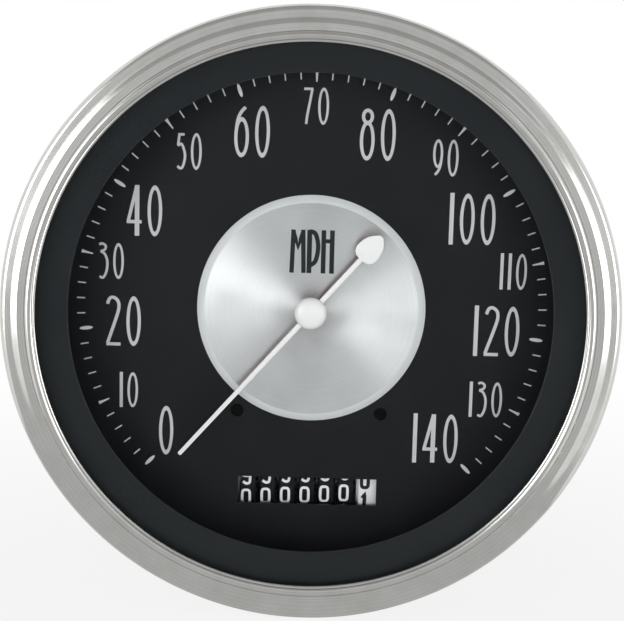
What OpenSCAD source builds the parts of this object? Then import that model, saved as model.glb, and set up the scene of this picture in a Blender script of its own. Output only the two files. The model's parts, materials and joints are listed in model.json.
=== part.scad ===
// Panel speedometer of the cable-driven, drag-cup kind, with a seven-drum odometer.
// Modules are drawn with x to the right, y up and z towards the driver, with z = 0 at the
// panel seat behind the bezel. front() then turns each one so that +Z is up.

/* [Bezel and glass] */
// Outside diameter of the bezel
bezel_d = 124; // [112:0.5:136]
// Radial width of the bezel as seen from the front
bezel_w = 7.3; // [6.4:0.1:9]
// Thickness of the bezel sheet
bezel_t = 0.8; // [0.6:0.1:1.2]
// Thickness of the glass
glass_t = 2; // [1.5:0.1:4]
// Thickness of the gasket under the glass
gasket_t = 0.5; // [0.3:0.1:1.5]

/* [Case] */
// Width by which the bezel covers the panel around the spigot
panel_lap = 3.5; // [3:0.1:6]
// Length of the spigot behind the panel seat
spigot_len = 10; // [6:0.5:20]
// Radial step from the spigot down to the body of the case
case_step = 1; // [0.5:0.1:2]
// Thickness of the case sheet
case_t = 1; // [0.6:0.1:1.6]
// Outer corner radius at the back of the case
case_corner_r = 3; // [2:0.1:5]

/* [Dial] */
// Gap between the edge of the dial plate and the wall of the case
dial_space = 2.5; // [1.5:0.1:5]
// Thickness of the dial plate
dial_t = 0.8; // [0.7:0.1:1.5]
// Depth of the dial face behind the panel seat
dial_depth = 11.4; // [9:0.1:14]
// Diameter of the bright disc at the centre of the dial
disc_d = 47.8; // [42:0.2:50]
// Height of the centre disc above the dial
disc_t = 1; // [0.6:0.1:2]
// Width of the bevel around the centre disc
disc_bevel = 1.6; // [0.5:0.1:3]
// Width by which the shroud covers the edge of the dial
shroud_lap = 5.1; // [3:0.1:7]
// Drop of the shroud from under the glass to its inner edge
shroud_drop = 1.3; // [0.5:0.1:4]
// Thickness of the shroud
shroud_t = 0.6; // [0.4:0.1:1]
// Distance of the dial screws from the edge of the centre disc
dial_screw_gap = 3; // [2.5:0.1:3.5]
// Direction of the dial screws below the horizontal
dial_screw_angle = 55.6; // [50:0.1:60]

/* [Pointer] */
// Length of the needle from its centre to its tip
needle_len = 40.8; // [32:0.1:46]
// Width of the needle at the hub
needle_w = 1; // [0.7:0.05:1.6]
// Width of the needle at its squared tip
needle_tip_w = 0.82; // [0.5:0.02:1]
// Reach of the spade tail behind the centre
tail_len = 21.5; // [18:0.1:26]
// Length of the spade on the tail
spade_len = 6.2; // [4:0.1:9]
// Width of the spade on the tail
spade_w = 4.9; // [3:0.1:7]
// Thickness of the pointer sheet
pointer_t = 0.6; // [0.4:0.1:0.8]
// Height of the pointer above the dial face
pointer_lift = 5; // [3:0.1:8]
// Diameter of the domed cap on the pointer
cap_d = 6.6; // [5:0.1:9]
// Height of the domed cap
cap_h = 1.8; // [1:0.1:3]
// Direction of the resting needle, anticlockwise from the right
rest_angle = 228.8; // [226:0.1:232]
// Travel of the pointer between its stops
sweep = 274; // [240:1:290]

/* [Movement] */
// Thickness of the front bridge
bridge_t = 2; // [1.5:0.1:3]
// Radius of the drag magnet
magnet_r = 11.2; // [9:0.1:12.5]
// Length of the drag magnet
magnet_len = 6.5; // [5:0.1:9]
// Radial air gap on each side of the speed cup
air_gap = 0.9; // [0.5:0.1:1.4]
// Wall of the speed cup
cup_t = 0.5; // [0.4:0.1:0.8]
// Wall of the flux cup
flux_t = 1.2; // [0.8:0.1:2]
// Radius of the pointer spindle
spindle_r = 0.75; // [0.6:0.05:0.9]
// Number of turns of the hairspring
spring_turns = 4; // [3:1:4]
// Thickness of the hairspring strip
spring_t = 0.25; // [0.15:0.05:0.4]

/* [Odometer] */
// Radius of the figure drums
drum_r = 7.6; // [7:0.1:8.4]
// Distance from one drum to the next
drum_pitch = 4.2; // [4:0.02:4.4]
// Depth of the odometer axis below the dial centre
window_y = 39.5; // [38.5:0.1:40.5]
// Height of the dial window
window_h = 5.9; // [4:0.1:7]
// Radius of the axle that carries the drums
axle_r = 1.6; // [1.2:0.1:2.2]

/* [Drive] */
// Side of the square socket that takes the cable end
drive_square = 2.7; // [2.4:0.1:3]
// Radius of the input shaft
input_r = 2.5; // [2.4:0.05:2.55]
// Pitch radius of the worm on the input shaft
worm1_r = 3.6; // [3.55:0.05:4.2]
// Pitch radius of the wheel on the cross shaft
cross_gear_r = 8.5; // [8:0.1:8.8]
// Pitch radius of the worm on the cross shaft
worm2_r = 3.4; // [3.2:0.1:3.7]
// Pitch radius of the worm on the lay shaft
worm3_r = 2.6; // [2.5:0.1:3]
// Pitch radius of the wheel beside the tenths drum
tenths_gear_r = 6.6; // [6.2:0.1:6.9]
// Radius of the cross shaft and the lay shaft
shaft_r = 1.6; // [1.2:0.1:1.7]
// Thickness of the rear frame plate
frame_t = 3; // [2.5:0.1:5]
// Radius of the thread that takes the cable nut
thread_r = 7.94; // [7:0.02:8.6]
// Length of that thread
thread_len = 12; // [9:0.5:18]

/* [Mounting] */
// Distance of each mounting stud from the centre
stud_x = 41; // [40:0.5:44]
// Radius of the mounting studs
stud_r = 2.4; // [2:0.1:3]
// Length of the studs behind the case
stud_len = 24; // [22:0.5:40]
// Width of the clamp bracket
bracket_w = 14; // [10:0.5:14]
// Thickness of the clamp bracket
bracket_t = 2; // [1.4:0.1:2.6]
// Gap between the panel seat and the bracket feet
panel_gap = 6; // [5:0.5:12]
// Radius of the lamp sockets
lamp_r = 6.5; // [5.5:0.1:7]

/* [Hidden] */
$fn = 96;

// Clearances shared by all the fits
run_fit = 0.05;
gap = 0.8;
play = 0.3;
// Length by which a cut runs past the face that it opens
cut = 1;

// Bezel and glass stack, from the panel seat forwards
bezel_r = bezel_d / 2;
lip_r = bezel_r - bezel_w;
rim_r = bezel_r - bezel_t;
flange_gap = 0.9;
flange_r = rim_r - flange_gap;
glass_inset = 0.6;
glass_r = flange_r - glass_inset;
gasket_w = 2;
z_flange0 = bezel_t;
z_flange1 = z_flange0 + case_t;
z_shroud1 = z_flange1 + shroud_t;
z_glass0 = z_shroud1 + gasket_t;
z_glass1 = z_glass0 + glass_t;
z_crown = z_glass1 + bezel_t;
bead_r = 0.6;
bead_rise = 0.3;
bead_arc = [180, 25];
small_bead_r = 0.35;
small_bead_at = 1.8;
small_bead_drop = 0.2;
small_bead_arc = [155, 20];
ridge_r = 0.65;
ridge_in = 2.35;
ridge_drop = 0.1;
ridge_arc = [130, 55];
shoulder_r = 2;
shoulder_drop = 2.4;
roll_r = 0.6;

// Case and shroud
spigot_r = bezel_r - panel_lap;
return_gap = 1.3;
return_r = spigot_r + return_gap;
body_r = spigot_r - case_step;
inner_r = body_r - case_t;
mouth_inset = 1.6;
mouth_r = spigot_r - case_t - mouth_inset;
dial_r = inner_r - dial_space;
shroud_r = dial_r - shroud_lap;

// Teeth shared by the worm stages, the drums and the pinions
teeth = 20;
addendum = 0.8;
dedendum = 1.1;
flank = tan(20);
tooth_share = 0.4;
function module_of(r) = 2 * r / teeth;
function tip_r(r, wheel_r) = r + addendum * module_of(wheel_r);
ring_depth = 1.3;
ring_r = drum_r - ring_depth;
ring_m = module_of(ring_r);
pinion_teeth = 8;
pinion_r = ring_r * pinion_teeth / teeth;

// Dial and odometer places, with the pinions behind the drums
z_dial = -dial_depth;
z_dial_back = z_dial - dial_t;
z_odo = z_dial_back - gap - drum_r;
z_pinion = z_odo - ring_r - pinion_r;
odo_base_t = 1;
z_bridge1 = z_pinion - tip_r(pinion_r, ring_r) - gap - odo_base_t;
z_bridge0 = z_bridge1 - bridge_t;
bridge_space = 3;
bridge_r = inner_r - bridge_space;
drum_count = 7;
window_side = 0.15;
window_w = drum_count * drum_pitch + 2 * window_side;
disc_r = disc_d / 2;
disc_edge_t = 0.25;
dial_screw_x = (disc_r + dial_screw_gap) * cos(dial_screw_angle);
dial_screw_y = (disc_r + dial_screw_gap) * sin(dial_screw_angle);
dial_hole_r = 2;
dial_head_r = 1.4;
dial_head_t = 0.45;
dial_thread_r = 0.8;
dial_thread_len = 6;
post_r = 2;
post_spigot_r = 1.3;

// Pointer and drag-cup stack, from the bridge backwards
z_pointer = z_dial + pointer_lift;
// Shape of the spade: how far it is widest towards the hub, how full it is and how far the stem runs in
spade_skew = 0.6;
spade_fill = 0.75;
spade_lap = 0.75;
cup_space = 1.4;
z_cup1 = z_bridge0 - cup_space;
z_cup0 = z_cup1 - cup_t;
magnet_space = 1.2;
z_magnet1 = z_cup0 - magnet_space;
z_magnet0 = z_magnet1 - magnet_len;
cup_in_r = magnet_r + air_gap;
cup_out_r = cup_in_r + cup_t;
flux_in_r = cup_out_r + air_gap;
flux_out_r = flux_in_r + flux_t;
flux_space = 1.6;
z_flux1 = z_magnet0 - flux_space;
z_flux0 = z_flux1 - flux_t;
cup_boss_h = 0.9;
cup_lap = 0.4;
pivot_wall = 0.75;
pivot_r = spindle_r + pivot_wall;
pivot_len = 3;
hub_wall = 1.4;
hub_r = spindle_r + hub_wall;
bush_flange_w = 1;
bush_flange_t = 0.6;
collet_h = 1.6;
spring_lift = 4;
z_spring = z_bridge1 + spring_lift;
spring_h = 1;
spring_pitch = 1.4;
spring_in_r = hub_r + play;
spring_out_r = spring_in_r + spring_turns * spring_pitch;
spring_step = 15;
spring_end_angle = 150;
spring_tail_angle = 12;
spring_slot_gap = 0.25;
spring_slot = spring_t + spring_slot_gap;
spring_stud_r = 1;
spring_stud_rise = 0.6;
arm_lift = 7.5;
z_arm = z_bridge1 + arm_lift;
arm_t = 1.2;
arm_w = 2;
stop_pin_r = 0.8;
stop_pin_gap = 0.6;
stop_pin_rise = 0.8;
stop_pin_at = spring_out_r + spring_stud_r + stop_pin_r + stop_pin_gap;
stop_back = asin((arm_w / 2 + stop_pin_r + play / 2) / stop_pin_at);

// Worm stages: two-start worms with twenty-tooth wheels
starts = 2;
start_angle = 360 / starts;
worm_slices = 40;
wheel_slices = 3;
worm1_len = 10;
worm2_len = 8;
worm3_len = 8;
gear1_w = 6;
gear2_w = 5;
gear3_w = 5;
cross_y = worm1_r + cross_gear_r;
lay_y = window_y - worm3_r - tenths_gear_r;
lay_gear_r = lay_y - cross_y - worm2_r;
tenth_lap = 0.2;
tenth_edge = window_w / 2 + tenth_lap;
lay_x = tenth_edge + gap + tip_r(worm3_r, tenths_gear_r);
gear_space = 1;
shaft_end = 0.5;
z_cross = z_flux0 - gear_space - tip_r(cross_gear_r, cross_gear_r);

// Rear frame and case back
z_frame1 = z_cross - tip_r(cross_gear_r, cross_gear_r) - gear_space;
z_frame0 = z_frame1 - frame_t;
z_case = z_frame0 - case_t;
frame_r = 35;
pillar_at = 31.5;
pillar_angles = [90, 200, 340];
pillar_r = 2.5;
pillar_thread_r = 1.25;
pillar_thread_len = 5;
pillar_spigot_len = 2;
frame_screw_at = 26;
frame_screw_angles = [30, 150, 270];
frame_screw_r = 1.5;
frame_screw_len = 2.4;
screw_head_r = 2.8;
screw_head_t = 1.6;
slot_w = 0.7;
lug_t = 2;
lug_wall = 1.15;
lug_w = 2 * (shaft_r + lug_wall);
lug_reach = 11;
lug_left = -gear1_w / 2 - lug_reach;
lug_gap = 1.2;
lug_right = lay_x + worm2_len / 2 + lug_gap;
lay_boss_r = 5;
lay_seat = 2;
neck_wall = 1;
neck_r = thread_r + neck_wall;
neck_len = 4;
z_neck = z_case - neck_len;
z_thread = z_neck - thread_len;
ferrule_r = 5;
ferrule_len = 7;
bush_r = 4;
neck_seat_r = 6.5;
z_bush = z_thread + ferrule_len;
z_input = z_bush + run_fit;
socket_len = 9;
collar_r = 4.2;
collar_t = 2;

// Odometer drums, transfer pinions and their frame
drum_bore = axle_r + run_fit;
ring_w = 0.47;
rim_w = drum_pitch - 2 * ring_w - play;
pinion_w = 0.9;
pinion_shaft_r = 0.75;
lock_r = ring_r - addendum * ring_m - play;
lock_angle = 90;
sleeve_wall = 1;
sleeve_r = axle_r + sleeve_wall;
function drum_place(i) = (i - 3) * drum_pitch - rim_w / 2;
cheek_t = 1.2;
cheek_half_w = 4.5;
cheek_front = 3.2;
cheek_gap = 0.6;
cheek_left = drum_place(0) - cheek_gap - cheek_t;
cheek_right = lay_x + gear3_w / 2 + cheek_gap;
ear_w = 5;
odo_screw_r = 1;
odo_screw_head_r = 2;
odo_screw_head_t = 1.2;

// Mounting hardware and lamps
stud_head_r = 4.5;
stud_head_t = 1.5;
bracket_space = 4;
leg_gap = 1.3;
leg_t = 1.6;
leg_x = spigot_r + leg_gap;
z_strap = z_case - bracket_space;
strap_hole_gap = 4;
strap_hole_r = neck_r + strap_hole_gap;
strap_ring_w = 7;
strap_ring_r = strap_hole_r + strap_ring_w;
washer_r = 5.5;
washer_t = 1;
nut_r = 6;
nut_len = 6;
nut_ribs = 30;
nut_rib_h = 0.35;
lamp_flange_w = 1.5;
lamp_flange_r = lamp_r + lamp_flange_w;
lamp_edge = 1.5;
lamp_at = body_r - case_corner_r - lamp_flange_r - lamp_edge;
lamp_angle = 58;
lamp_x = lamp_at * cos(lamp_angle);
lamp_y = lamp_at * sin(lamp_angle);
lamp_flange_t = 1.2;
lamp_in = 8;
lamp_out = 8;
bulb_r = 4;
bulb_len = 11;
light_hole_w = 1.5;
light_hole_r = lamp_r + light_hole_w;

// Turns a piece from its own layout to the part's frame
module front() {
    rotate([90, 0, 0]) children();
}

// Lays a piece drawn along z along x
module along_x() {
    rotate([0, 90, 0]) children();
}

// A plain round bar from one z to another
module bar(r, z0, z1) {
    translate([0, 0, z0]) cylinder(r = r, h = z1 - z0);
}

// A hole right through from one z to another
module hole(r, z0, z1) {
    bar(r, z0 - cut, z1 + cut);
}

// A plain tube from one z to another
module tube(r_out, r_in, z0, z1) {
    difference() {
        bar(r_out, z0, z1);
        hole(r_in, z0, z1);
    }
}

// Copies of a piece around the axis
module around(r, angles) {
    for (a = angles) translate([r * cos(a), r * sin(a), 0]) children();
}

// Copies of a piece on both sides at the same height
module both_sides(x, y) {
    for (side = [-1, 1]) translate([side * x, y, 0]) children();
}

// A slotted screw whose head sits on z = 0 and whose shank runs back
module slotted_screw(r, len, head_r, head_t) {
    bar(r, -len, 0);
    difference() {
        bar(head_r, 0, head_t);
        translate([-head_r, -slot_w / 2, head_t / 2]) cube([2 * head_r, slot_w, head_t]);
    }
}

function arc(x, y, r, from, to, n = 8) =
    [for (i = [0:n]) let (a = from + (to - from) * i / n) [x + r * cos(a), y + r * sin(a)]];
function polar(r, a) = [r * cos(a), r * sin(a)];

// Outline of a wheel with a gap at angle 0
function wheel_outline(count, r, m) =
    let (half = tooth_share * 180 / count,
        tip = half - addendum * m * flank / (r + addendum * m) * 180 / PI,
        root = half + dedendum * m * flank / (r - dedendum * m) * 180 / PI)
    [for (i = [0:count - 1],
            side = [[-root, -dedendum], [-tip, addendum], [tip, addendum], [root, -dedendum]])
        polar(r + side[1] * m, (i + 0.5) * 360 / count + side[0])];

// Outline across a worm with a crest at angle 0
function worm_outline(r, m) =
    let (half = tooth_share * 90,
        tip = half - addendum * m * flank / (starts * PI * m) * 360,
        root = half + dedendum * m * flank / (starts * PI * m) * 360,
        r_tip = r + addendum * m,
        r_root = r - dedendum * m,
        middle = (tip + root) / 2,
        r_middle = (r_tip + r_root) / 2,
        step = (start_angle - 2 * root) / 3,
        shape = [[-root, r_root], [-middle, r_middle], [-tip, r_tip], [0, r_tip], [tip, r_tip],
            [middle, r_middle], [root, r_root], [root + step, r_root], [root + 2 * step, r_root]])
    [for (start = [0:starts - 1], point = shape) polar(point[1], point[0] + start_angle * start)];

// A right-handed worm along z, with a crest towards +x at its middle
module worm(r, wheel_r, length) {
    m = module_of(wheel_r);
    turn = 360 * length / (starts * PI * m);
    outline = worm_outline(r, m);
    rotate([0, 0, -turn / 2])
        linear_extrude(height = length, center = true, twist = -turn, slices = worm_slices,
                segments = len(outline))
            polygon(outline);
}

// A right-handed wheel along z, with a gap towards +x at its middle
module wheel(r, worm_pitch_r, width, bore) {
    m = module_of(r);
    lean = starts * m / (2 * worm_pitch_r);
    turn = width * lean / r * 180 / PI;
    difference() {
        rotate([0, 0, -turn / 2])
            linear_extrude(height = width, center = true, twist = -turn, slices = wheel_slices)
                polygon(wheel_outline(teeth, r, m));
        hole(bore, -width / 2, width / 2);
    }
}

// Front of the case

module bezel() {
    skirt = concat(
        arc(bezel_r - shoulder_r, z_crown - shoulder_drop, shoulder_r, 65, 0),
        arc(bezel_r - roll_r, roll_r, roll_r, 0, -90),
        [[return_r, 0], [return_r, bezel_t], [rim_r, bezel_t]],
        arc(bezel_r - shoulder_r, z_crown - shoulder_drop, shoulder_r - bezel_t, 0, 80));
    lip = concat(
        [[bezel_r - shoulder_r, z_glass1], [lip_r, z_glass1]],
        arc(lip_r + bead_r, z_crown + bead_rise - bead_r, bead_r, bead_arc[0], bead_arc[1]),
        arc(lip_r + small_bead_at, z_crown - small_bead_drop, small_bead_r,
            small_bead_arc[0], small_bead_arc[1]),
        arc(bezel_r - ridge_in, z_crown - ridge_drop - ridge_r, ridge_r, ridge_arc[0], ridge_arc[1]));
    color("silver") front() rotate_extrude() polygon(concat(lip, skirt));
}

module lens_glass() {
    color([0.85, 0.92, 0.95, 0.25]) front() bar(glass_r, z_glass0, z_glass1);
}

module lens_gasket() {
    color("dimgray") front() tube(glass_r, glass_r - gasket_w, z_shroud1, z_glass0);
}

module dial_shroud() {
    color([0.2, 0.21, 0.22]) front() rotate_extrude()
        polygon([[glass_r, z_flange1], [glass_r, z_shroud1], [mouth_r, z_shroud1],
            [shroud_r, z_shroud1 - shroud_drop], [shroud_r, z_shroud1 - shroud_drop - shroud_t],
            [mouth_r + shroud_t, z_flange1]]);
}

module case_can() {
    wall = concat(
        [[0, z_frame0], [0, z_case]],
        arc(body_r - case_corner_r, z_case + case_corner_r, case_corner_r, -90, 0),
        [[body_r, -spigot_len - case_step], [spigot_r, -spigot_len], [spigot_r, 0], [return_r - play, 0],
            [return_r - play, z_flange0], [flange_r, z_flange0], [flange_r, z_flange1],
            [spigot_r - case_t, z_flange1], [spigot_r - case_t, -spigot_len],
            [inner_r, -spigot_len - case_step]],
        arc(body_r - case_corner_r, z_case + case_corner_r, case_corner_r - case_t, 0, -90));
    color("gray") front() difference() {
        rotate_extrude() polygon(wall);
        hole(neck_r + play, z_case, z_frame0);
        both_sides(stud_x, 0) hole(stud_r, z_case, z_frame0);
        both_sides(lamp_x, lamp_y) hole(lamp_r, z_case, z_frame0);
        around(frame_screw_at, frame_screw_angles) hole(frame_screw_r + play / 2, z_case, z_frame0);
    }
}

// Dial

module dial_plate() {
    color([0.13, 0.13, 0.14]) front() difference() {
        bar(dial_r, z_dial_back, z_dial);
        hole(dial_hole_r, z_dial_back, z_dial);
        translate([-window_w / 2, -window_y - window_h / 2, z_dial_back - cut])
            cube([window_w, window_h, dial_t + 2 * cut]);
        both_sides(dial_screw_x, -dial_screw_y) {
            hole(dial_thread_r, z_dial_back, z_dial);
            bar(dial_head_r, z_dial - dial_head_t, z_dial + cut);
        }
    }
}

module dial_screws() {
    color([0.08, 0.08, 0.09]) front() both_sides(dial_screw_x, -dial_screw_y)
        translate([0, 0, z_dial - dial_head_t])
            slotted_screw(dial_thread_r, dial_thread_len, dial_head_r, dial_head_t);
}

module dial_centre_disc() {
    color("gainsboro") front() rotate_extrude()
        polygon([[dial_hole_r, z_dial], [disc_r, z_dial], [disc_r, z_dial + disc_edge_t],
            [disc_r - disc_bevel, z_dial + disc_t], [dial_hole_r, z_dial + disc_t]]);
}

module dial_posts() {
    color("darkgray") front() both_sides(dial_screw_x, -dial_screw_y) difference() {
        union() {
            bar(post_r, z_bridge1, z_dial_back);
            bar(post_spigot_r, z_bridge0, z_bridge1);
        }
        bar(dial_thread_r, z_dial - dial_head_t - dial_thread_len, z_dial);
    }
}

// Pointer and drag-cup movement

module pointer() {
    stem = tail_len - spade_lap * spade_len;
    steps = 24;
    edge = [for (i = [0:steps]) let (t = i / steps)
        [spade_len * (1 - t) - tail_len, spade_w / 2 * pow(sin(180 * pow(t, spade_skew)), spade_fill)]];
    far_edge = [for (i = [1:steps - 1]) [edge[steps - i][0], -edge[steps - i][1]]];
    color("white") front() translate([0, 0, z_pointer]) rotate([0, 0, rest_angle]) difference() {
        linear_extrude(height = pointer_t) union() {
            polygon([[0, -needle_w / 2], [needle_len, -needle_tip_w / 2],
                [needle_len, needle_tip_w / 2], [0, needle_w / 2]]);
            translate([-stem, -needle_w / 2]) square([stem, needle_w]);
            polygon(concat(edge, far_edge));
            circle(r = cap_d / 2 - play);
        }
        hole(spindle_r, 0, pointer_t);
    }
}

module pointer_cap() {
    cap_r = cap_d / 2;
    dome_r = (cap_r * cap_r + cap_h * cap_h) / (2 * cap_h);
    start = asin(cap_r / dome_r);
    color("whitesmoke") front() translate([0, 0, z_pointer + pointer_t]) rotate_extrude()
        polygon(concat([[0, 0]], arc(0, cap_h - dome_r, dome_r, 90 - start, 90)));
}

module pointer_spindle() {
    color("lightsteelblue") front() bar(spindle_r, z_magnet1 - pivot_len + play, z_pointer + pointer_t);
}

module speed_cup() {
    color("lightgray") front() difference() {
        union() {
            bar(hub_r, z_cup0, z_cup1 + cup_boss_h);
            bar(cup_out_r, z_magnet0 - cup_lap, z_cup1);
        }
        bar(cup_in_r, z_magnet0 - cup_lap - cut, z_cup0);
        hole(spindle_r, z_cup0, z_cup1 + cup_boss_h);
    }
}

module stop_arm() {
    color("goldenrod") front() difference() {
        union() {
            bar(hub_r, z_arm, z_arm + arm_t);
            rotate([0, 0, rest_angle]) translate([0, -arm_w / 2, z_arm])
                cube([stop_pin_at + stop_pin_r, arm_w, arm_t]);
        }
        hole(spindle_r, z_arm, z_arm + arm_t);
    }
}

module hairspring_collet() {
    color("goldenrod") front() tube(hub_r, spindle_r, z_spring - play, z_spring - play + collet_h);
}

function spring_point(i, side) =
    let (turn = i * spring_step,
        r = spring_in_r + spring_t / 2 + spring_pitch * turn / 360 + side * spring_t / 2)
    polar(r, spring_end_angle - 360 * spring_turns + turn);
spring_steps = 360 * spring_turns / spring_step;
steps_a_turn = 360 / spring_step;
echo(hairspring_least_gap = min([for (i = [0:spring_steps - steps_a_turn])
    norm(spring_point(i + steps_a_turn, -1) - spring_point(i, 1))]));

module hairspring() {
    tail = spring_tail_angle / spring_step;
    inner = [for (i = [0:spring_steps]) spring_point(i, -1)];
    outer = [for (i = [0:spring_steps]) spring_point(spring_steps - i, 1)];
    color("darkgoldenrod") front() translate([0, 0, z_spring]) linear_extrude(height = spring_h)
        polygon(concat(inner, [spring_point(spring_steps + tail, -1), spring_point(spring_steps + tail, 1)],
            outer));
}

module hairspring_stud() {
    color("goldenrod") front() rotate([0, 0, spring_end_angle])
        translate([spring_out_r + spring_t / 2, 0, 0]) difference() {
            bar(spring_stud_r, z_bridge0, z_spring + spring_h + spring_stud_rise);
            translate([-spring_slot / 2, -spring_stud_r, z_spring - play])
                cube([spring_slot, 2 * spring_stud_r, spring_h + play + spring_stud_rise + cut]);
        }
}

module stop_pins() {
    color("silver") front()
        around(stop_pin_at, [rest_angle + stop_back, rest_angle - sweep - stop_back])
            bar(stop_pin_r, z_bridge0, z_arm + arm_t + stop_pin_rise);
}

module spindle_bush() {
    color("peru") front() difference() {
        union() {
            bar(hub_r, z_bridge0, z_bridge1);
            bar(hub_r + bush_flange_w, z_bridge1, z_bridge1 + bush_flange_t);
        }
        hole(spindle_r + run_fit, z_bridge0, z_bridge1 + bush_flange_t);
    }
}

module spindle_pivot() {
    color("peru") front() tube(pivot_r, spindle_r + run_fit, z_magnet1 - pivot_len, z_magnet1);
}

module front_bridge() {
    color("darkgray") front() difference() {
        bar(bridge_r, z_bridge0, z_bridge1);
        hole(hub_r, z_bridge0, z_bridge1);
        translate([lay_x, -lay_y, 0]) hole(shaft_r + run_fit, z_bridge0, z_bridge1);
        both_sides(dial_screw_x, -dial_screw_y) hole(post_spigot_r, z_bridge0, z_bridge1);
        both_sides(lamp_x, lamp_y) hole(light_hole_r, z_bridge0, z_bridge1);
        around(pillar_at, pillar_angles) hole(pillar_thread_r, z_bridge0, z_bridge1);
        around(stop_pin_at, [rest_angle + stop_back, rest_angle - sweep - stop_back])
            hole(stop_pin_r, z_bridge0, z_bridge1);
        rotate([0, 0, spring_end_angle]) translate([spring_out_r + spring_t / 2, 0, 0])
            hole(spring_stud_r, z_bridge0, z_bridge1);
        odometer_ears() hole(odo_screw_r, z_bridge0, z_bridge1);
    }
}

module bridge_screws() {
    color("silver") front() around(pillar_at, pillar_angles) translate([0, 0, z_bridge1])
        slotted_screw(pillar_thread_r, bridge_t + pillar_thread_len, screw_head_r, screw_head_t);
}

module frame_pillars() {
    color("darkgray") front() around(pillar_at, pillar_angles) difference() {
        union() {
            bar(pillar_r, z_frame1, z_bridge0);
            bar(pillar_thread_r, z_frame1 - pillar_spigot_len, z_frame1);
        }
        bar(pillar_thread_r, z_bridge0 - pillar_thread_len, z_bridge0 + cut);
    }
}

// Rear frame and drive

module rear_frame() {
    color("lightslategray") front() difference() {
        union() {
            bar(frame_r, z_frame0, z_frame1);
            translate([lay_x, -lay_y, 0]) bar(lay_boss_r, z_frame0, z_frame1);
            for (x = [lug_left, lug_right])
                translate([x, -cross_y - lug_w / 2, z_frame1])
                    cube([lug_t, lug_w, z_cross + lug_w / 2 - z_frame1]);
        }
        hole(neck_seat_r, z_frame0, z_frame1);
        translate([0, -cross_y, z_cross]) along_x() hole(shaft_r + run_fit, lug_left, lug_right + lug_t);
        translate([lay_x, -lay_y, 0]) bar(shaft_r + run_fit, z_frame1 - lay_seat, z_frame1 + cut);
        around(pillar_at, pillar_angles) bar(pillar_thread_r, z_frame1 - pillar_spigot_len, z_frame1 + cut);
        around(frame_screw_at, frame_screw_angles)
            bar(frame_screw_r, z_frame0 - cut, z_frame0 + frame_screw_len);
        both_sides(lamp_x, lamp_y) hole(lamp_r + gap, z_frame0, z_frame1);
    }
}

module drive_neck() {
    color("silver") front() difference() {
        union() {
            bar(neck_seat_r, z_frame0, z_frame1);
            bar(neck_r, z_neck, z_frame0);
            bar(thread_r, z_thread, z_neck);
        }
        hole(bush_r, z_thread, z_frame1);
        bar(ferrule_r, z_thread - cut, z_bush);
    }
}

module frame_screws() {
    color("silver") front() around(frame_screw_at, frame_screw_angles) translate([0, 0, z_case])
        mirror([0, 0, 1])
            slotted_screw(frame_screw_r, case_t + frame_screw_len, screw_head_r, screw_head_t);
}

module input_bush() {
    color("peru") front() tube(bush_r, input_r + run_fit, z_bush, z_frame1);
}

module input_shaft() {
    color("slategray") front() difference() {
        union() {
            bar(input_r, z_input, z_magnet1);
            translate([0, 0, z_cross]) rotate([0, 0, -90]) worm(worm1_r, cross_gear_r, worm1_len);
        }
        bar(pivot_r, z_magnet1 - pivot_len, z_magnet1 + cut);
        translate([-drive_square / 2, -drive_square / 2, z_input - cut])
            cube([drive_square, drive_square, socket_len + cut]);
    }
}

module input_collar() {
    color("silver") front() tube(collar_r, input_r, z_frame1 + play, z_frame1 + play + collar_t);
}

module magnet() {
    color("darkslategray") front() tube(magnet_r, input_r, z_magnet0, z_magnet1);
}

module flux_cup() {
    color("gray") front() difference() {
        bar(flux_out_r, z_flux0, z_magnet1);
        bar(flux_in_r, z_flux1, z_magnet1 + cut);
        hole(input_r, z_flux0, z_flux1);
    }
}

module cross_shaft() {
    end = lug_right + lug_t;
    color("slategray") front() translate([0, -cross_y, z_cross]) along_x() union() {
        bar(shaft_r, lug_left, end);
        translate([0, 0, lay_x]) rotate([0, 0, -90]) worm(worm2_r, lay_gear_r, worm2_len);
    }
}

module cross_gear() {
    color("peru") front() translate([0, -cross_y, z_cross]) along_x() rotate([0, 0, 90])
        wheel(cross_gear_r, worm1_r, gear1_w, shaft_r);
}

module lay_shaft() {
    color("slategray") front() translate([lay_x, -lay_y, 0]) union() {
        bar(shaft_r, z_frame1 - lay_seat + play, z_odo + worm3_len / 2 + shaft_end);
        translate([0, 0, z_odo]) rotate([0, 0, -90]) worm(worm3_r, tenths_gear_r, worm3_len);
    }
}

module lay_gear() {
    color("peru") front() translate([lay_x, -lay_y, z_cross]) rotate([0, 0, 90])
        wheel(lay_gear_r, worm2_r, gear2_w, shaft_r);
}

// Odometer

// Places the x axis on the odometer axle
module on_axle() {
    translate([0, -window_y, z_odo]) along_x() children();
}

// Places the x axis on the shaft of the pinions, straight behind the axle
module on_pinions() {
    translate([0, -window_y, z_pinion]) along_x() children();
}

// Copies of a piece on the two ears of the odometer frame
module odometer_ears() {
    for (x = [cheek_left - ear_w / 2, cheek_right + cheek_t + ear_w / 2])
        translate([x, -window_y, 0]) children();
}

module tenths_gear() {
    color("peru") front() on_axle() translate([0, 0, lay_x]) rotate([0, 0, 90])
        wheel(tenths_gear_r, worm3_r, gear3_w, sleeve_r);
}

module odometer_axle() {
    color("silver") front() on_axle() bar(axle_r, cheek_left, cheek_right + cheek_t);
}

module pinion_shaft() {
    color("silver") front() on_pinions() bar(pinion_shaft_r, cheek_left, cheek_right + cheek_t);
}

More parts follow.
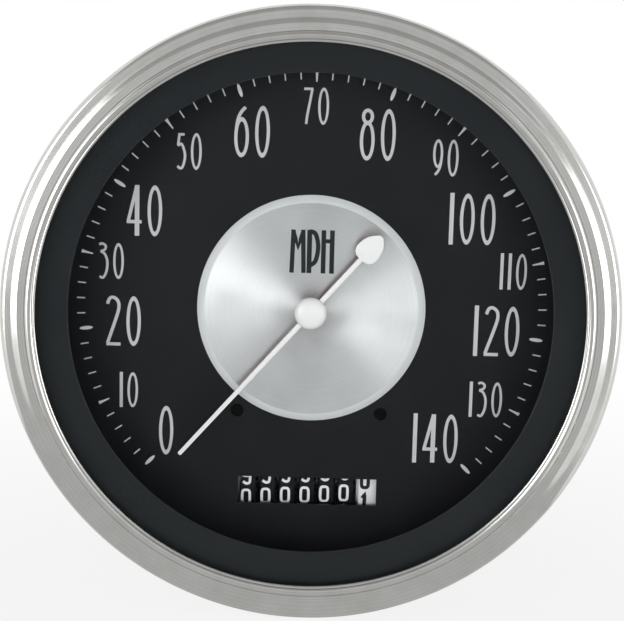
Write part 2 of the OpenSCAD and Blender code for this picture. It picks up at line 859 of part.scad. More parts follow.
module odometer_frame() {
    base_x = cheek_left - ear_w;
    base_w = cheek_right + cheek_t + ear_w - base_x;
    color("darkgray") front() difference() {
        union() {
            translate([base_x, -window_y - cheek_half_w, z_bridge1])
                cube([base_w, 2 * cheek_half_w, odo_base_t]);
            for (x = [cheek_left, cheek_right])
                translate([x, -window_y - cheek_half_w, z_bridge1])
                    cube([cheek_t, 2 * cheek_half_w, z_odo + cheek_front - z_bridge1]);
        }
        on_axle() hole(axle_r, cheek_left, cheek_right + cheek_t);
        on_pinions() hole(pinion_shaft_r, cheek_left, cheek_right + cheek_t);
        odometer_ears() hole(odo_screw_r, z_bridge1, z_bridge1 + odo_base_t);
    }
}

module odometer_screws() {
    color("silver") front() odometer_ears() translate([0, 0, z_bridge1 + odo_base_t])
        slotted_screw(odo_screw_r, odo_base_t + bridge_t, odo_screw_head_r, odo_screw_head_t);
}

// Locking disc with its two carrying teeth turned away from the pinion
module lock_disc() {
    linear_extrude(height = ring_w) {
        circle(r = lock_r);
        rotate([0, 0, lock_angle]) intersection() {
            polygon(wheel_outline(teeth, ring_r, ring_m));
            polygon([[0, 0], polar(2 * ring_r, 360 / teeth), polar(2 * ring_r, -360 / teeth)]);
        }
    }
}

// A figure drum: its rim, the toothed ring on its right and the locking disc on its left
module drum(place, width, ring, lock, sleeve) {
    on_axle() translate([0, 0, place]) difference() {
        union() {
            bar(drum_r, 0, width);
            if (ring) translate([0, 0, width]) linear_extrude(height = ring_w)
                polygon(wheel_outline(teeth, ring_r, ring_m));
            if (lock) translate([0, 0, -ring_w]) lock_disc();
            if (sleeve > 0) bar(sleeve_r, width, width + sleeve);
        }
        hole(drum_bore, -ring_w, width + max(ring_w, sleeve));
    }
}

module black_drum(i) {
    color([0.1, 0.1, 0.11]) front() drum(drum_place(i), rim_w, true, i > 0, 0);
}

module drum_100000() {
    black_drum(0);
}

module drum_10000() {
    black_drum(1);
}

module drum_1000() {
    black_drum(2);
}

module drum_100() {
    black_drum(3);
}

module drum_10() {
    black_drum(4);
}

module drum_1() {
    black_drum(5);
}

module drum_tenth() {
    place = drum_place(6);
    width = tenth_edge - place;
    color("ivory") front() drum(place, width, false, true, lay_x + gear3_w / 2 - tenth_edge);
}

// The pinion to the right of drum number i, with a tooth towards the drum
module pinion(i) {
    middle = drum_place(i) + rim_w + ring_w + play / 2;
    color("peru") front() on_pinions() translate([0, 0, middle]) difference() {
        rotate([0, 0, 180 + 180 / pinion_teeth]) linear_extrude(height = pinion_w, center = true)
            polygon(wheel_outline(pinion_teeth, pinion_r, ring_m));
        hole(pinion_shaft_r + run_fit, -pinion_w / 2, pinion_w / 2);
    }
}

module pinion_1() {
    pinion(5);
}

module pinion_2() {
    pinion(4);
}

module pinion_3() {
    pinion(3);
}

module pinion_4() {
    pinion(2);
}

module pinion_5() {
    pinion(1);
}

module pinion_6() {
    pinion(0);
}

// Lamps and mounting hardware

module lamp_sockets() {
    color("darkgray") front() both_sides(lamp_x, lamp_y) difference() {
        union() {
            bar(lamp_r, z_case - lamp_out, z_frame0 + lamp_in);
            bar(lamp_flange_r, z_case - lamp_flange_t, z_case);
        }
        bar(bulb_r, z_frame0, z_frame0 + lamp_in + cut);
    }
}

module lamp_bulbs() {
    dome = arc(0, z_frame0 + lamp_in + bulb_len - bulb_r, bulb_r, 0, 90);
    color("lightyellow") front() both_sides(lamp_x, lamp_y) rotate_extrude()
        polygon(concat([[0, z_frame0], [bulb_r, z_frame0]], dome));
}

module mounting_studs() {
    color("silver") front() both_sides(stud_x, 0) {
        bar(stud_r, z_case - stud_len, z_frame0);
        bar(stud_head_r, z_frame0, z_frame0 + stud_head_t);
    }
}

module mounting_bracket() {
    half = leg_x + leg_t;
    color("darkgray") front() difference() {
        union() {
            translate([-half, -bracket_w / 2, z_strap - bracket_t]) cube([2 * half, bracket_w, bracket_t]);
            bar(strap_ring_r, z_strap - bracket_t, z_strap);
            for (x = [-half, leg_x])
                translate([x, -bracket_w / 2, z_strap - bracket_t])
                    cube([leg_t, bracket_w, -panel_gap - z_strap + bracket_t]);
        }
        hole(strap_hole_r, z_strap - bracket_t, z_strap);
        both_sides(stud_x, 0) hole(stud_r + play, z_strap - bracket_t, z_strap);
    }
}

module stud_washers() {
    back = z_strap - bracket_t;
    color("silver") front() both_sides(stud_x, 0) tube(washer_r, stud_r + play, back - washer_t, back);
}

module thumb_nuts() {
    back = z_strap - bracket_t - washer_t;
    ribs = [for (i = [0:2 * nut_ribs - 1]) polar(nut_r - nut_rib_h * (i % 2), i * 180 / nut_ribs)];
    color("goldenrod") front() both_sides(stud_x, 0) translate([0, 0, back - nut_len]) difference() {
        linear_extrude(height = nut_len) polygon(ribs);
        hole(stud_r + run_fit, 0, nut_len);
    }
}

bezel();
lens_glass();
lens_gasket();
dial_shroud();
case_can();
dial_plate();
dial_screws();
dial_centre_disc();
pointer();
pointer_cap();
pointer_spindle();
speed_cup();
stop_arm();
hairspring_collet();
hairspring();
hairspring_stud();
stop_pins();
spindle_bush();
spindle_pivot();
front_bridge();
bridge_screws();
dial_posts();
frame_pillars();
rear_frame();
drive_neck();
frame_screws();
input_bush();
input_shaft();
input_collar();
magnet();
flux_cup();
cross_shaft();
cross_gear();
lay_shaft();
lay_gear();
tenths_gear();
odometer_axle();
pinion_shaft();
odometer_frame();
odometer_screws();
drum_100000();
drum_10000();
drum_1000();
drum_100();
drum_10();
drum_1();
drum_tenth();
pinion_1();
pinion_2();
pinion_3();
pinion_4();
pinion_5();
pinion_6();
lamp_sockets();
lamp_bulbs();
mounting_studs();
mounting_bracket();
stud_washers();
thumb_nuts();
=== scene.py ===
"""Vintage panel speedometer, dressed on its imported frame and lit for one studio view."""
import json
import logging
import math
from dataclasses import dataclass, replace
from enum import Enum
from typing import Callable, Sequence

import bmesh
import bpy
from mathutils import Matrix, Vector


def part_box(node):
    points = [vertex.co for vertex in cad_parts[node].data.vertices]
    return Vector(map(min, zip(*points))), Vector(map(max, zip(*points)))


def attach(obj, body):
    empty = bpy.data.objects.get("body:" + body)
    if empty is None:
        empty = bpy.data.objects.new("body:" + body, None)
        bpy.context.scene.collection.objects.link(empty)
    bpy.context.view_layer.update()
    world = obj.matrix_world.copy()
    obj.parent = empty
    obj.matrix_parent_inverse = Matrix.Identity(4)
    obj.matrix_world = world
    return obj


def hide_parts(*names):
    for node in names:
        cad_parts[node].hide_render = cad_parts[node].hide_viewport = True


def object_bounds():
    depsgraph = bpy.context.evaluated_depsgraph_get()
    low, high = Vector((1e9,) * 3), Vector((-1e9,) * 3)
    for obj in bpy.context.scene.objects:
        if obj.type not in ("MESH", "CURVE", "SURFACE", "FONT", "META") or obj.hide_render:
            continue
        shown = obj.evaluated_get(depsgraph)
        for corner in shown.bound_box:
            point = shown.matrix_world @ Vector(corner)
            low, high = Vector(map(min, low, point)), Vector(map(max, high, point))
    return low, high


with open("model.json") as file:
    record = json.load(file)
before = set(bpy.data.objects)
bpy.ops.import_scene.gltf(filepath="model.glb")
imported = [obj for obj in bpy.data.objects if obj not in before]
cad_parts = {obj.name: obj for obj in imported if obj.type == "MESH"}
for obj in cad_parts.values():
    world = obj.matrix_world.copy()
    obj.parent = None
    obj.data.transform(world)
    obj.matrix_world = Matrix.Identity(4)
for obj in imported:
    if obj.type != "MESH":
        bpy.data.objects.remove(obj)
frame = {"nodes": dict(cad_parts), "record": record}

log = logging.getLogger("speedometer")

Point = tuple[float, float]
Color = tuple[float, float, float]
Mesh = bpy.types.Mesh
Socket = bpy.types.NodeSocket

CAD_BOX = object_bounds()
IMAGE = (624, 621)

# The instrument's layout is in millimetres: x to the right, y up, z towards the driver
HERE = Matrix.Identity(4)
UPRIGHT = Matrix.Rotation(math.pi / 2, 4, "X")
TO_WORLD = Matrix.Scale(0.001, 4) @ UPRIGHT
SIDES = (-1, 1)
HOUSING = "housing"
RING_SEGMENTS = 240
SMALL_SEGMENTS = 64
SCREW_SEGMENTS = 48
OVAL_STEPS = 40
CUT_PAST = 1.0
SHARP_ANGLE = 32.0
MERGE = 1e-4
SHORTEST = 1e-9
MITRE_LIMIT = 0.5
NOISE_RANGE = (0.3, 0.7)


# Outlines

def arc(x: float, y: float, radius: float, start: float, end: float,
        height: float | None = None, steps: int = 16) -> list[Point]:
    """Points along a circle or an upright ellipse.

    Args:
        x: centre, across.
        y: centre, up.
        radius: radius across.
        start: first angle in degrees, from the right, turning left.
        end: last angle in degrees.
        height: radius upwards, the same as across where it is left out.
        steps: number of chords.

    Returns:
        The points from the first angle to the last.
    """
    tall = radius if height is None else height
    angles = [math.radians(start + (end - start) * i / steps) for i in range(steps + 1)]
    return [(x + radius * math.cos(a), y + tall * math.sin(a)) for a in angles]


def circle(x: float, y: float, radius: float, steps: int = SMALL_SEGMENTS) -> list[Point]:
    """A closed circle, without its first point repeated."""
    return arc(x, y, radius, 0, 360, steps=steps)[:-1]


def rectangle(half_w: float, half_h: float) -> list[Point]:
    """The corners of a rectangle about the origin."""
    return [(-half_w, -half_h), (half_w, -half_h), (half_w, half_h), (-half_w, half_h)]


def plate(bore: float, radius: float, low: float, high: float, edge: float) -> list[Point]:
    """Section of a round plate with a bore, whose outer edges are broken."""
    return [(bore, low), (radius - edge, low), (radius, low + edge),
            (radius, high - edge), (radius - edge, high), (bore, high)]


def smooth(points: Sequence[Point], steps: int = 6) -> list[Point]:
    """A curve through points, rounded between them.

    Args:
        points: the points that the curve passes through.
        steps: chords between two points.

    Returns:
        The points of the curve.
    """
    ends = [Vector(p) for p in (points[0], *points, points[-1])]
    rounded: list[Point] = []
    for before, here, after, later in zip(ends, ends[1:], ends[2:], ends[3:]):
        for i in range(steps):
            t = i / steps
            spot = 0.5 * (2 * here + (after - before) * t
                          + (2 * before - 5 * here + 4 * after - later) * t * t
                          + (3 * here - before - 3 * after + later) * t ** 3)
            rounded.append(tuple(spot))
    return rounded + [tuple(points[-1])]


def refine(path: Sequence[Point], step: float) -> list[Point]:
    """Splits the long chords of an open path, so that it can follow a curved surface.

    Args:
        path: the points of the path.
        step: the longest chord that may stay.

    Returns:
        The path with its new points.
    """
    fine = [path[0]]
    for (x0, y0), (x1, y1) in zip(path, path[1:]):
        parts = max(1, math.ceil(math.hypot(x1 - x0, y1 - y0) / step))
        fine += [(x0 + (x1 - x0) * i / parts, y0 + (y1 - y0) * i / parts) for i in range(1, parts + 1)]
    return fine


def edges_of_stroke(path: Sequence[Point], width: float, closed: bool) -> tuple[list, list]:
    """The left and right edges of a stroke, mitred at its corners.

    Args:
        path: the middle of the stroke.
        width: its width.
        closed: whether the last point joins the first.

    Returns:
        The points of the left edge and those of the right edge.
    """
    count = len(path)
    spots = [Vector(p) for p in path]
    left, right = [], []
    for k, spot in enumerate(spots):
        before = spots[k - 1] if closed or k else None
        after = spots[(k + 1) % count] if closed or k < count - 1 else None
        sides = []
        for a, b in ((before, spot), (spot, after)):
            if a is not None and b is not None and (b - a).length > SHORTEST:
                along = (b - a).normalized()
                sides.append(Vector((-along.y, along.x)))
        middle = sum(sides, Vector((0, 0))).normalized()
        reach = width / 2 / max(middle.dot(sides[0]), MITRE_LIMIT)
        left.append(tuple(spot + middle * reach))
        right.append(tuple(spot - middle * reach))
    return left, right


# Meshes

@dataclass(frozen=True)
class Span:
    """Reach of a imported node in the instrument's layout."""
    left: float
    right: float
    bottom: float
    top: float
    back: float
    front: float

    @classmethod
    def of(cls, node: str) -> "Span":
        """Reads the reach of one node from the frame."""
        low, high = (corner * 1000 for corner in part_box(node))
        return cls(low.x, high.x, low.z, high.z, -high.y, -low.y)


class Joining(Enum):
    """How one mesh acts on another."""
    ADD = "UNION"
    CUT = "DIFFERENCE"


class Shape:
    """Points and faces in the instrument's layout, before they become a piece."""

    def __init__(self) -> None:
        """Starts with nothing drawn."""
        self.points: list[Vector] = []
        self.faces: list[tuple[int, ...]] = []

    def add(self, points: Sequence, faces: Sequence, place: Matrix = HERE) -> "Shape":
        """Takes in points and the faces between them.

        Args:
            points: places in a layout of their own.
            faces: corners of each face, counted in these points.
            place: where that layout lies.

        Returns:
            This shape.
        """
        base = len(self.points)
        self.points += [place @ Vector(p) for p in points]
        self.faces += [tuple(base + i for i in face) for face in faces]
        return self

    def lathe(self, profile: Sequence[Point], place: Matrix = HERE,
              segments: int = RING_SEGMENTS) -> "Shape":
        """Turns a closed section about the z axis.

        Args:
            profile: radius and height of each corner of the section.
            place: where the axis lies.
            segments: steps of a full turn.

        Returns:
            This shape.
        """
        turn = [2 * math.pi * k / segments for k in range(segments)]
        points = [(r * math.cos(a), r * math.sin(a), z) for r, z in profile for a in turn]
        return self.add(points, self.grid(len(profile), segments), place)

    @staticmethod
    def grid(rows: int, columns: int, open_columns: bool = False) -> list[tuple[int, ...]]:
        """Faces of a sleeve of points whose rows close on themselves.

        Args:
            rows: number of rows.
            columns: points in each row.
            open_columns: whether the last column stays apart from the first.

        Returns:
            The corners of each face.
        """
        faces = []
        for i in range(rows):
            j = (i + 1) % rows
            for k in range(columns - 1 if open_columns else columns):
                n = (k + 1) % columns
                faces.append((i * columns + k, i * columns + n, j * columns + n, j * columns + k))
        return faces

    def prism(self, loop: Sequence[Point], low: float, high: float, place: Matrix = HERE) -> "Shape":
        """Raises a flat outline to a slab.

        Args:
            loop: the outline.
            low: height of the under side.
            high: height of the upper side.
            place: where the slab lies.

        Returns:
            This shape.
        """
        count = len(loop)
        points = [(x, y, z) for z in (low, high) for x, y in loop]
        faces = [tuple(reversed(range(count))), tuple(range(count, 2 * count))]
        faces += [(i, (i + 1) % count, count + (i + 1) % count, count + i) for i in range(count)]
        return self.add(points, faces, place)

    def band(self, left: Sequence[Point], right: Sequence[Point], low: float, high: float,
             closed: bool = False) -> "Shape":
        """Fills the strip between two edges with as many points.

        Args:
            left: one edge.
            right: the other edge.
            low: height of the under side.
            high: height of the upper side.
            closed: whether the strip runs back into its start.

        Returns:
            This shape.
        """
        count = len(left)
        rows = ((left, high), (right, high), (right, low), (left, low))
        points = [(x, y, z) for edge, z in rows for x, y in edge]
        faces = self.grid(len(rows), count, open_columns=not closed)
        if not closed:
            first = tuple(i * count for i in range(len(rows)))
            faces += [first, tuple(i + count - 1 for i in reversed(first))]
        return self.add(points, faces)

    def warp(self, rule: Callable[[Vector], Vector]) -> "Shape":
        """Moves every point by a rule."""
        self.points = [rule(p) for p in self.points]
        return self

    def mesh(self, name: str) -> Mesh:
        """Makes the mesh, with its doubles merged and its faces outwards.

        Args:
            name: the mesh's name.

        Returns:
            The mesh.
        """
        mesh = bpy.data.meshes.new(name)
        mesh.from_pydata([tuple(p) for p in self.points], [], self.faces)
        work = bmesh.new()
        work.from_mesh(mesh)
        bmesh.ops.remove_doubles(work, verts=work.verts, dist=MERGE)
        bmesh.ops.recalc_face_normals(work, faces=work.faces)
        work.to_mesh(mesh)
        work.free()
        return mesh


def carry(name: str, data: bpy.types.ID) -> bpy.types.Object:
    """Puts a mesh, a camera or a lamp on an object of the scene.

    Args:
        name: the object's name.
        data: what it carries.

    Returns:
        The object.
    """
    carrier = bpy.data.objects.new(name, data)
    bpy.context.scene.collection.objects.link(carrier)
    return carrier


def plain(name: str, carrier: bpy.types.Object) -> Mesh:
    """Turns an object with its modifiers into a plain mesh, and removes the object.

    Args:
        name: name of the mesh.
        carrier: the object.

    Returns:
        The mesh.
    """
    graph = bpy.context.evaluated_depsgraph_get()
    result = bpy.data.meshes.new_from_object(carrier.evaluated_get(graph))
    result.name = name
    carrier.modifiers.clear()
    bpy.data.objects.remove(carrier)
    return result


def combine(base: Mesh, tool: Mesh, joining: Joining) -> Mesh:
    """Adds one mesh to another or cuts it away.

    Args:
        base: the mesh that stays.
        tool: the mesh that acts on it.
        joining: whether the tool adds or cuts.

    Returns:
        The new mesh.
    """
    carrier, helper = carry("base", base), carry("tool", tool)
    step = carrier.modifiers.new("combine", "BOOLEAN")
    step.operation = joining.value
    step.solver = "EXACT"
    step.object = helper
    result = plain(base.name, carrier)
    bpy.data.objects.remove(helper)
    return result


def merge(meshes: Sequence[Mesh]) -> Mesh:
    """Takes meshes of one finish together.

    Args:
        meshes: the meshes.

    Returns:
        The first of them, which then holds them all.
    """
    work = bmesh.new()
    for mesh in meshes:
        work.from_mesh(mesh)
    work.to_mesh(meshes[0])
    work.free()
    return meshes[0]


def break_edges(mesh: Mesh, size: float) -> None:
    """Rounds every sharp edge of a mesh a little.

    Args:
        mesh: the mesh, in millimetres.
        size: how far the rounding reaches.
    """
    work = bmesh.new()
    work.from_mesh(mesh)
    bmesh.ops.remove_doubles(work, verts=work.verts, dist=MERGE)
    corner = math.radians(SHARP_ANGLE)
    edges = [e for e in work.edges if len(e.link_faces) == 2 and e.calc_face_angle(0) > corner]
    bmesh.ops.bevel(work, geom=edges, offset=size, segments=2, profile=0.5, affect="EDGES",
                    clamp_overlap=True)
    work.to_mesh(mesh)
    work.free()


def slotted_screws(section: Sequence[Point], spots: Sequence[Point], turns: Sequence[float],
                   slot: Point, low: float, high: float) -> Mesh:
    """Turned screws with a slot across each head.

    Args:
        section: radius and height of each corner of a screw.
        spots: the middle of each screw.
        turns: the angle of each slot in radians.
        slot: half length and half width of the slot's cut.
        low: height at which the cut starts.
        high: height at which it ends.

    Returns:
        One mesh of all the screws.
    """
    heads, slots = Shape(), Shape()
    for (x, y), turn in zip(spots, turns):
        place = Matrix.Translation((x, y, 0))
        heads.lathe(section, place, SCREW_SEGMENTS)
        slots.prism(rectangle(*slot), low, high, place @ Matrix.Rotation(turn, 4, "Z"))
    return combine(heads.mesh("heads"), slots.mesh("slots"), Joining.CUT)


# Finishes

class Graph:
    """A node tree under construction."""

    def __init__(self, tree: bpy.types.NodeTree) -> None:
        """Starts from an empty tree."""
        self.tree = tree
        tree.nodes.clear()

    def add(self, kind: str, inputs: dict | None = None, **settings: object) -> bpy.types.Node:
        """Adds a node.

        Args:
            kind: the node's type.
            inputs: values or linked sockets for its inputs, by name or number.
            settings: the node's own options.

        Returns:
            The node.
        """
        node = self.tree.nodes.new(kind)
        for key, value in settings.items():
            setattr(node, key, value)
        for key, value in (inputs or {}).items():
            socket = node.inputs[key]
            if isinstance(value, Socket):
                self.tree.links.new(value, socket)
            elif socket.type == "RGBA" and len(value) == 3:
                socket.default_value = (*value, 1.0)
            else:
                socket.default_value = value
        return node

    def math(self, operation: str, first: object, second: object = 0.0) -> Socket:
        """One sum of two numbers."""
        return self.add("ShaderNodeMath", {0: first, 1: second}, operation=operation).outputs[0]

    def mix(self, factor: object, first: object, second: object) -> Socket:
        """A colour between two colours."""
        return self.add("ShaderNodeMix", {0: factor, 6: first, 7: second}, data_type="RGBA").outputs[2]

    def scale(self, value: object, low: float, high: float, start: float = 0.0, end: float = 1.0) -> Socket:
        """Carries a value from the range start to end over to low to high, held at its ends."""
        inputs = {"Value": value, "From Min": start, "From Max": end, "To Min": low, "To Max": high}
        return self.add("ShaderNodeMapRange", inputs).outputs[0]

    def place(self) -> Socket:
        """Object coordinates."""
        return self.add("ShaderNodeTexCoord").outputs["Object"]

    def apart(self, place: Socket) -> Sequence[Socket]:
        """The three coordinates of a place."""
        return self.add("ShaderNodeSeparateXYZ", {0: place}).outputs

    def length(self, place: Socket) -> Socket:
        """Distance of a place from the origin."""
        return self.add("ShaderNodeVectorMath", {0: place}, operation="LENGTH").outputs["Value"]

    def noise(self, place: Socket, size: float, detail: float = 3.0) -> Socket:
        """Soft noise whose blotches are about as many millimetres across as size says."""
        inputs = {"Vector": place, "Scale": 1000 / size, "Detail": detail}
        return self.add("ShaderNodeTexNoise", inputs).outputs[0]

    def radius(self, place: Socket) -> Socket:
        """Distance from the dial's axis in metres."""
        x, _, z = self.apart(place)
        return self.length(self.add("ShaderNodeCombineXYZ", {0: x, 1: z}).outputs[0])

    def rings(self, place: Socket, pitch: float) -> Socket:
        """Uneven fine rings about the dial's axis, like the marks of a lathe.

        Args:
            place: Object coordinates.
            pitch: usual distance between rings in millimetres.

        Returns:
            Their height, from 0 to 1.
        """
        count = self.math("MULTIPLY", self.radius(place), 1000 / pitch)
        inputs = {"W": count, "Scale": 1.0, "Detail": 2.0}
        return self.add("ShaderNodeTexNoise", inputs, noise_dimensions="1D").outputs[0]

    def bump(self, height: Socket, depth: float) -> Socket:
        """A normal from a height, with its depth in millimetres."""
        return self.add("ShaderNodeBump", {"Height": height, "Distance": depth / 1000}).outputs[0]

    def principled(self, inputs: dict) -> Socket:
        """Blender's general shader."""
        return self.add("ShaderNodeBsdfPrincipled", inputs).outputs[0]

    def blend(self, share: Socket, first: Socket, second: Socket) -> Socket:
        """A shader between two shaders."""
        return self.add("ShaderNodeMixShader", {0: share, 1: first, 2: second}).outputs[0]

    def output(self, shader: Socket) -> None:
        """Leads a shader to the material's surface."""
        self.add("ShaderNodeOutputMaterial", {"Surface": shader})


def new_material(name: str) -> tuple[bpy.types.Material, Graph]:
    """Makes a material with an empty node tree.

    Args:
        name: the material's name.

    Returns:
        The material and its tree.
    """
    made = bpy.data.materials.new(name)
    made.use_nodes = True
    return made, Graph(made.node_tree)


@dataclass(frozen=True)
class Finish:
    """What every finish shares: a name, the record's slot, and a material that is made once."""
    name: str
    slot: str

    def material(self) -> bpy.types.Material:
        """Makes the material on its first use.

        Returns:
            The finish's material.
        """
        found = bpy.data.materials.get(self.name)
        if found:
            return found
        made, graph = new_material(self.name)
        self.draw(graph)
        return made

    def draw(self, graph: Graph) -> None:
        """Builds the node tree."""
        raise NotImplementedError


@dataclass(frozen=True)
class Metal(Finish):
    """Bare or plated metal with duller patches, and fine grain or, where it is turned, lathe rings."""
    color: Color
    dull: Color
    roughness: float
    patch: float = 7.0
    grain: float = 0.25
    stretch: float = 1.0
    relief: float = 0.004
    rings: float = 0.0
    ring_tone: float = 0.0
    anisotropy: float = 0.0
    ring_turn: float = 0.25
    ring_range: Point = (0.25, 0.7)
    patch_range: Point = (0.3, 0.62)
    rough_spread: Point = (1.35, 0.85)

    def draw(self, graph: Graph) -> None:
        """Builds the node tree.

        Args:
            graph: the material's empty tree.
        """
        place = graph.place()
        patches = graph.noise(place, self.patch, detail=6.0)
        tone = graph.mix(graph.scale(patches, 0, 1, *self.patch_range), self.dull, self.color)
        rough, sleek = (self.roughness * share for share in self.rough_spread)
        shader: dict = {"Metallic": 1.0, "Roughness": graph.scale(patches, rough, sleek, *NOISE_RANGE)}
        if self.rings:
            height = graph.rings(place, self.rings)
            shade = graph.scale(height, 1 - self.ring_tone, 1, *self.ring_range)
            inputs = {0: tone, "Scale": shade}
            tone = graph.add("ShaderNodeVectorMath", inputs, operation="SCALE").outputs[0]
            shader["Anisotropic"] = self.anisotropy
            shader["Anisotropic Rotation"] = self.ring_turn
            shader["Tangent"] = graph.add("ShaderNodeTangent", direction_type="RADIAL", axis="Y").outputs[0]
        else:
            inputs = {"Vector": place, "Scale": (1.0, 1 / self.stretch, 1.0)}
            drawn = graph.add("ShaderNodeMapping", inputs).outputs[0]
            height = graph.noise(drawn, self.grain, detail=2.0)
        shader["Base Color"] = tone
        shader["Normal"] = graph.bump(height, self.relief)
        graph.output(graph.principled(shader))


@dataclass(frozen=True)
class Paint(Finish):
    """Paint, enamel, ink or moulded plastic with a fine skin, soft dusty patches and a few specks, and,
    where rim is set, a painted highlight: a lighter line round the inner edge.
    """
    color: Color
    # Second colour: dust patches and specks, and also the painted highlight line where rim is set
    worn: Color
    roughness: float
    patch: float = 9.0
    grain: float = 0.18
    relief: float = 0.006
    specks: float = 0.0
    speck_size: float = 3.0
    gloss: float = 0.5
    mottle: float = 0.5
    # Radius in millimetres inside which a painted highlight line is laid in the second colour, and how far
    # it fades out
    rim: float = 0.0
    rim_fade: float = 0.2
    dust_range: Point = (0.35, 0.75)
    speck_edge: Point = (0.03, 0.07)
    rough_spread: Point = (0.85, 1.15)

    def draw(self, graph: Graph) -> None:
        """Builds the node tree.

        Args:
            graph: the material's empty tree.
        """
        place = graph.place()
        patches = graph.noise(place, self.patch, detail=5.0)
        fine = graph.noise(place, self.grain)
        dust = graph.math("MULTIPLY", graph.scale(patches, 0.0, self.mottle, *self.dust_range), fine)
        tone = graph.mix(dust, self.color, self.worn)
        if self.specks:
            inputs = {"Vector": place, "Scale": 1000 / self.speck_size, "Randomness": 1.0}
            cells = graph.add("ShaderNodeTexVoronoi", inputs).outputs
            near = graph.scale(cells["Distance"], 1.0, 0.0, *self.speck_edge)
            chosen = graph.math("LESS_THAN", cells["Color"], self.specks)
            tone = graph.mix(graph.math("MULTIPLY", near, chosen), tone, self.worn)
        # Painted highlight: inside the rim radius, fading out a little beyond it, the second colour stands
        # in for the lit edge of the lip
        if self.rim:
            start, end = self.rim / 1000, (self.rim + self.rim_fade) / 1000
            tone = graph.mix(graph.scale(graph.radius(place), 1.0, 0.0, start, end), tone, self.worn)
        sleek, rough = (self.roughness * share for share in self.rough_spread)
        graph.output(graph.principled({
            "Base Color": tone,
            "Roughness": graph.scale(patches, sleek, rough, *NOISE_RANGE),
            "Specular IOR Level": self.gloss,
            "Normal": graph.bump(fine, self.relief),
        }))


@dataclass(frozen=True)
class ClearGlass(Finish):
    """Clear glass with faint smears, which lets light and shadow through unbent."""
    tint: Color
    index: float
    smear: float
    smear_size: float = 14.0
    smear_range: Point = (0.5, 0.85)

    def draw(self, graph: Graph) -> None:
        """Builds the node tree.

        Args:
            graph: the material's empty tree.
        """
        smears = graph.noise(graph.place(), self.smear_size, detail=5.0)
        glass = graph.principled({
            "Base Color": self.tint,
            "Transmission Weight": 1.0,
            "IOR": self.index,
            "Roughness": graph.scale(smears, 0.0, self.smear, *self.smear_range),
        })
        clear = graph.add("ShaderNodeBsdfTransparent", {"Color": self.tint}).outputs[0]
        path = graph.add("ShaderNodeLightPath").outputs
        passing = graph.math("MAXIMUM", path["Is Shadow Ray"], path["Is Diffuse Ray"])
        mirrored = graph.math("SUBTRACT", path["Is Glossy Ray"], path["Is Transmission Ray"])
        graph.output(graph.blend(graph.math("MAXIMUM", passing, mirrored), glass, clear))


BRIGHT_BEZEL = Metal("polished bezel", "bright_bezel", (0.69, 0.69, 0.67), (0.63, 0.63, 0.605), 0.15,
                     patch=5.0, relief=0.0001, rings=0.22, ring_tone=0.11, anisotropy=0.2)
SPUN_DISC = Metal("spun aluminium", "spun_aluminium", (0.86, 0.87, 0.88), (0.80, 0.81, 0.82), 0.33,
                  patch=9.0, relief=0.001, rings=0.3, ring_tone=0.06, anisotropy=0.85)
CUT_BEVEL = Paint("silver bevel", "spun_aluminium", (0.71, 0.73, 0.74), (0.66, 0.68, 0.69), 0.55,
                  patch=6.0, relief=0.001)
PLATED = Metal("zinc plate", "plated_steel", (0.62, 0.61, 0.58), (0.54, 0.53, 0.50), 0.32, patch=4.0)
CASE_STEEL = Metal("case plate", "case_steel", (0.58, 0.58, 0.56), (0.51, 0.505, 0.48), 0.36,
                   patch=26.0, grain=0.7, stretch=24.0, relief=0.006)
BRASS = Metal("brass", "brass", (0.70, 0.55, 0.29), (0.52, 0.39, 0.19), 0.30, patch=3.0)
CUP_METAL = Metal("cup aluminium", "cup_aluminium", (0.80, 0.80, 0.80), (0.68, 0.68, 0.68), 0.30,
                  rings=0.3, anisotropy=0.5)
CAST = Metal("die casting", "cast_frame", (0.50, 0.50, 0.50), (0.38, 0.38, 0.37), 0.52,
             patch=2.5, grain=0.6, relief=0.02)
MAGNET = Metal("magnet alloy", "magnet_dark", (0.20, 0.20, 0.21), (0.13, 0.13, 0.13), 0.55, patch=2.0)
DIAL_BLACK = Paint("dial black", "dial_black", (0.0088, 0.0092, 0.0118), (0.034, 0.034, 0.036), 0.45,
                   relief=0.0001, specks=0.10, speck_size=5.0, gloss=0.12, mottle=0.16)
# The shroud's rim value paints a lighter line round its lip at 48.9 mm: a painted highlight, not wear
SHROUD_BLACK = Paint("shroud satin black", "shroud_black", (0.0092, 0.0118, 0.0139), (0.04, 0.043, 0.046),
                     0.42, grain=0.5, relief=0.00005, gloss=0.18, mottle=0.08, rim=48.9)
LINING = Paint("case lining black", "shroud_black", (0.012, 0.012, 0.013), (0.03, 0.03, 0.03), 0.75,
               gloss=0.1)
SCREW_BLACK = Paint("blackened", "screw_black", (0.0025, 0.0025, 0.0025), (0.006, 0.006, 0.006), 0.7,
                    gloss=0.04)
CAPTION_INK = Paint("caption ink", "screw_black", (0.018, 0.022, 0.022), (0.03, 0.034, 0.034), 0.6,
                    gloss=0.12)
FIGURE_INK = Paint("silver figure ink", "pointer_white", (0.61, 0.62, 0.63), (0.56, 0.57, 0.58), 0.5,
                   patch=12.0, gloss=0.3)
MARK_INK = Paint("pale mark ink", "pointer_white", (0.80, 0.81, 0.82), (0.74, 0.75, 0.76), 0.5,
                 patch=12.0, gloss=0.3)
WHITE = Paint("white enamel", "pointer_white", (0.93, 0.93, 0.925), (0.87, 0.87, 0.86), 0.32, relief=0.0015)
NEEDLE_BACK = Paint("needle primer", "pointer_white", (0.15, 0.05, 0.07), (0.20, 0.09, 0.11), 0.55)
DRUM_BLACK = Paint("drum black", "drum_black", (0.006, 0.006, 0.0075), (0.015, 0.015, 0.016), 0.5,
                   gloss=0.15)
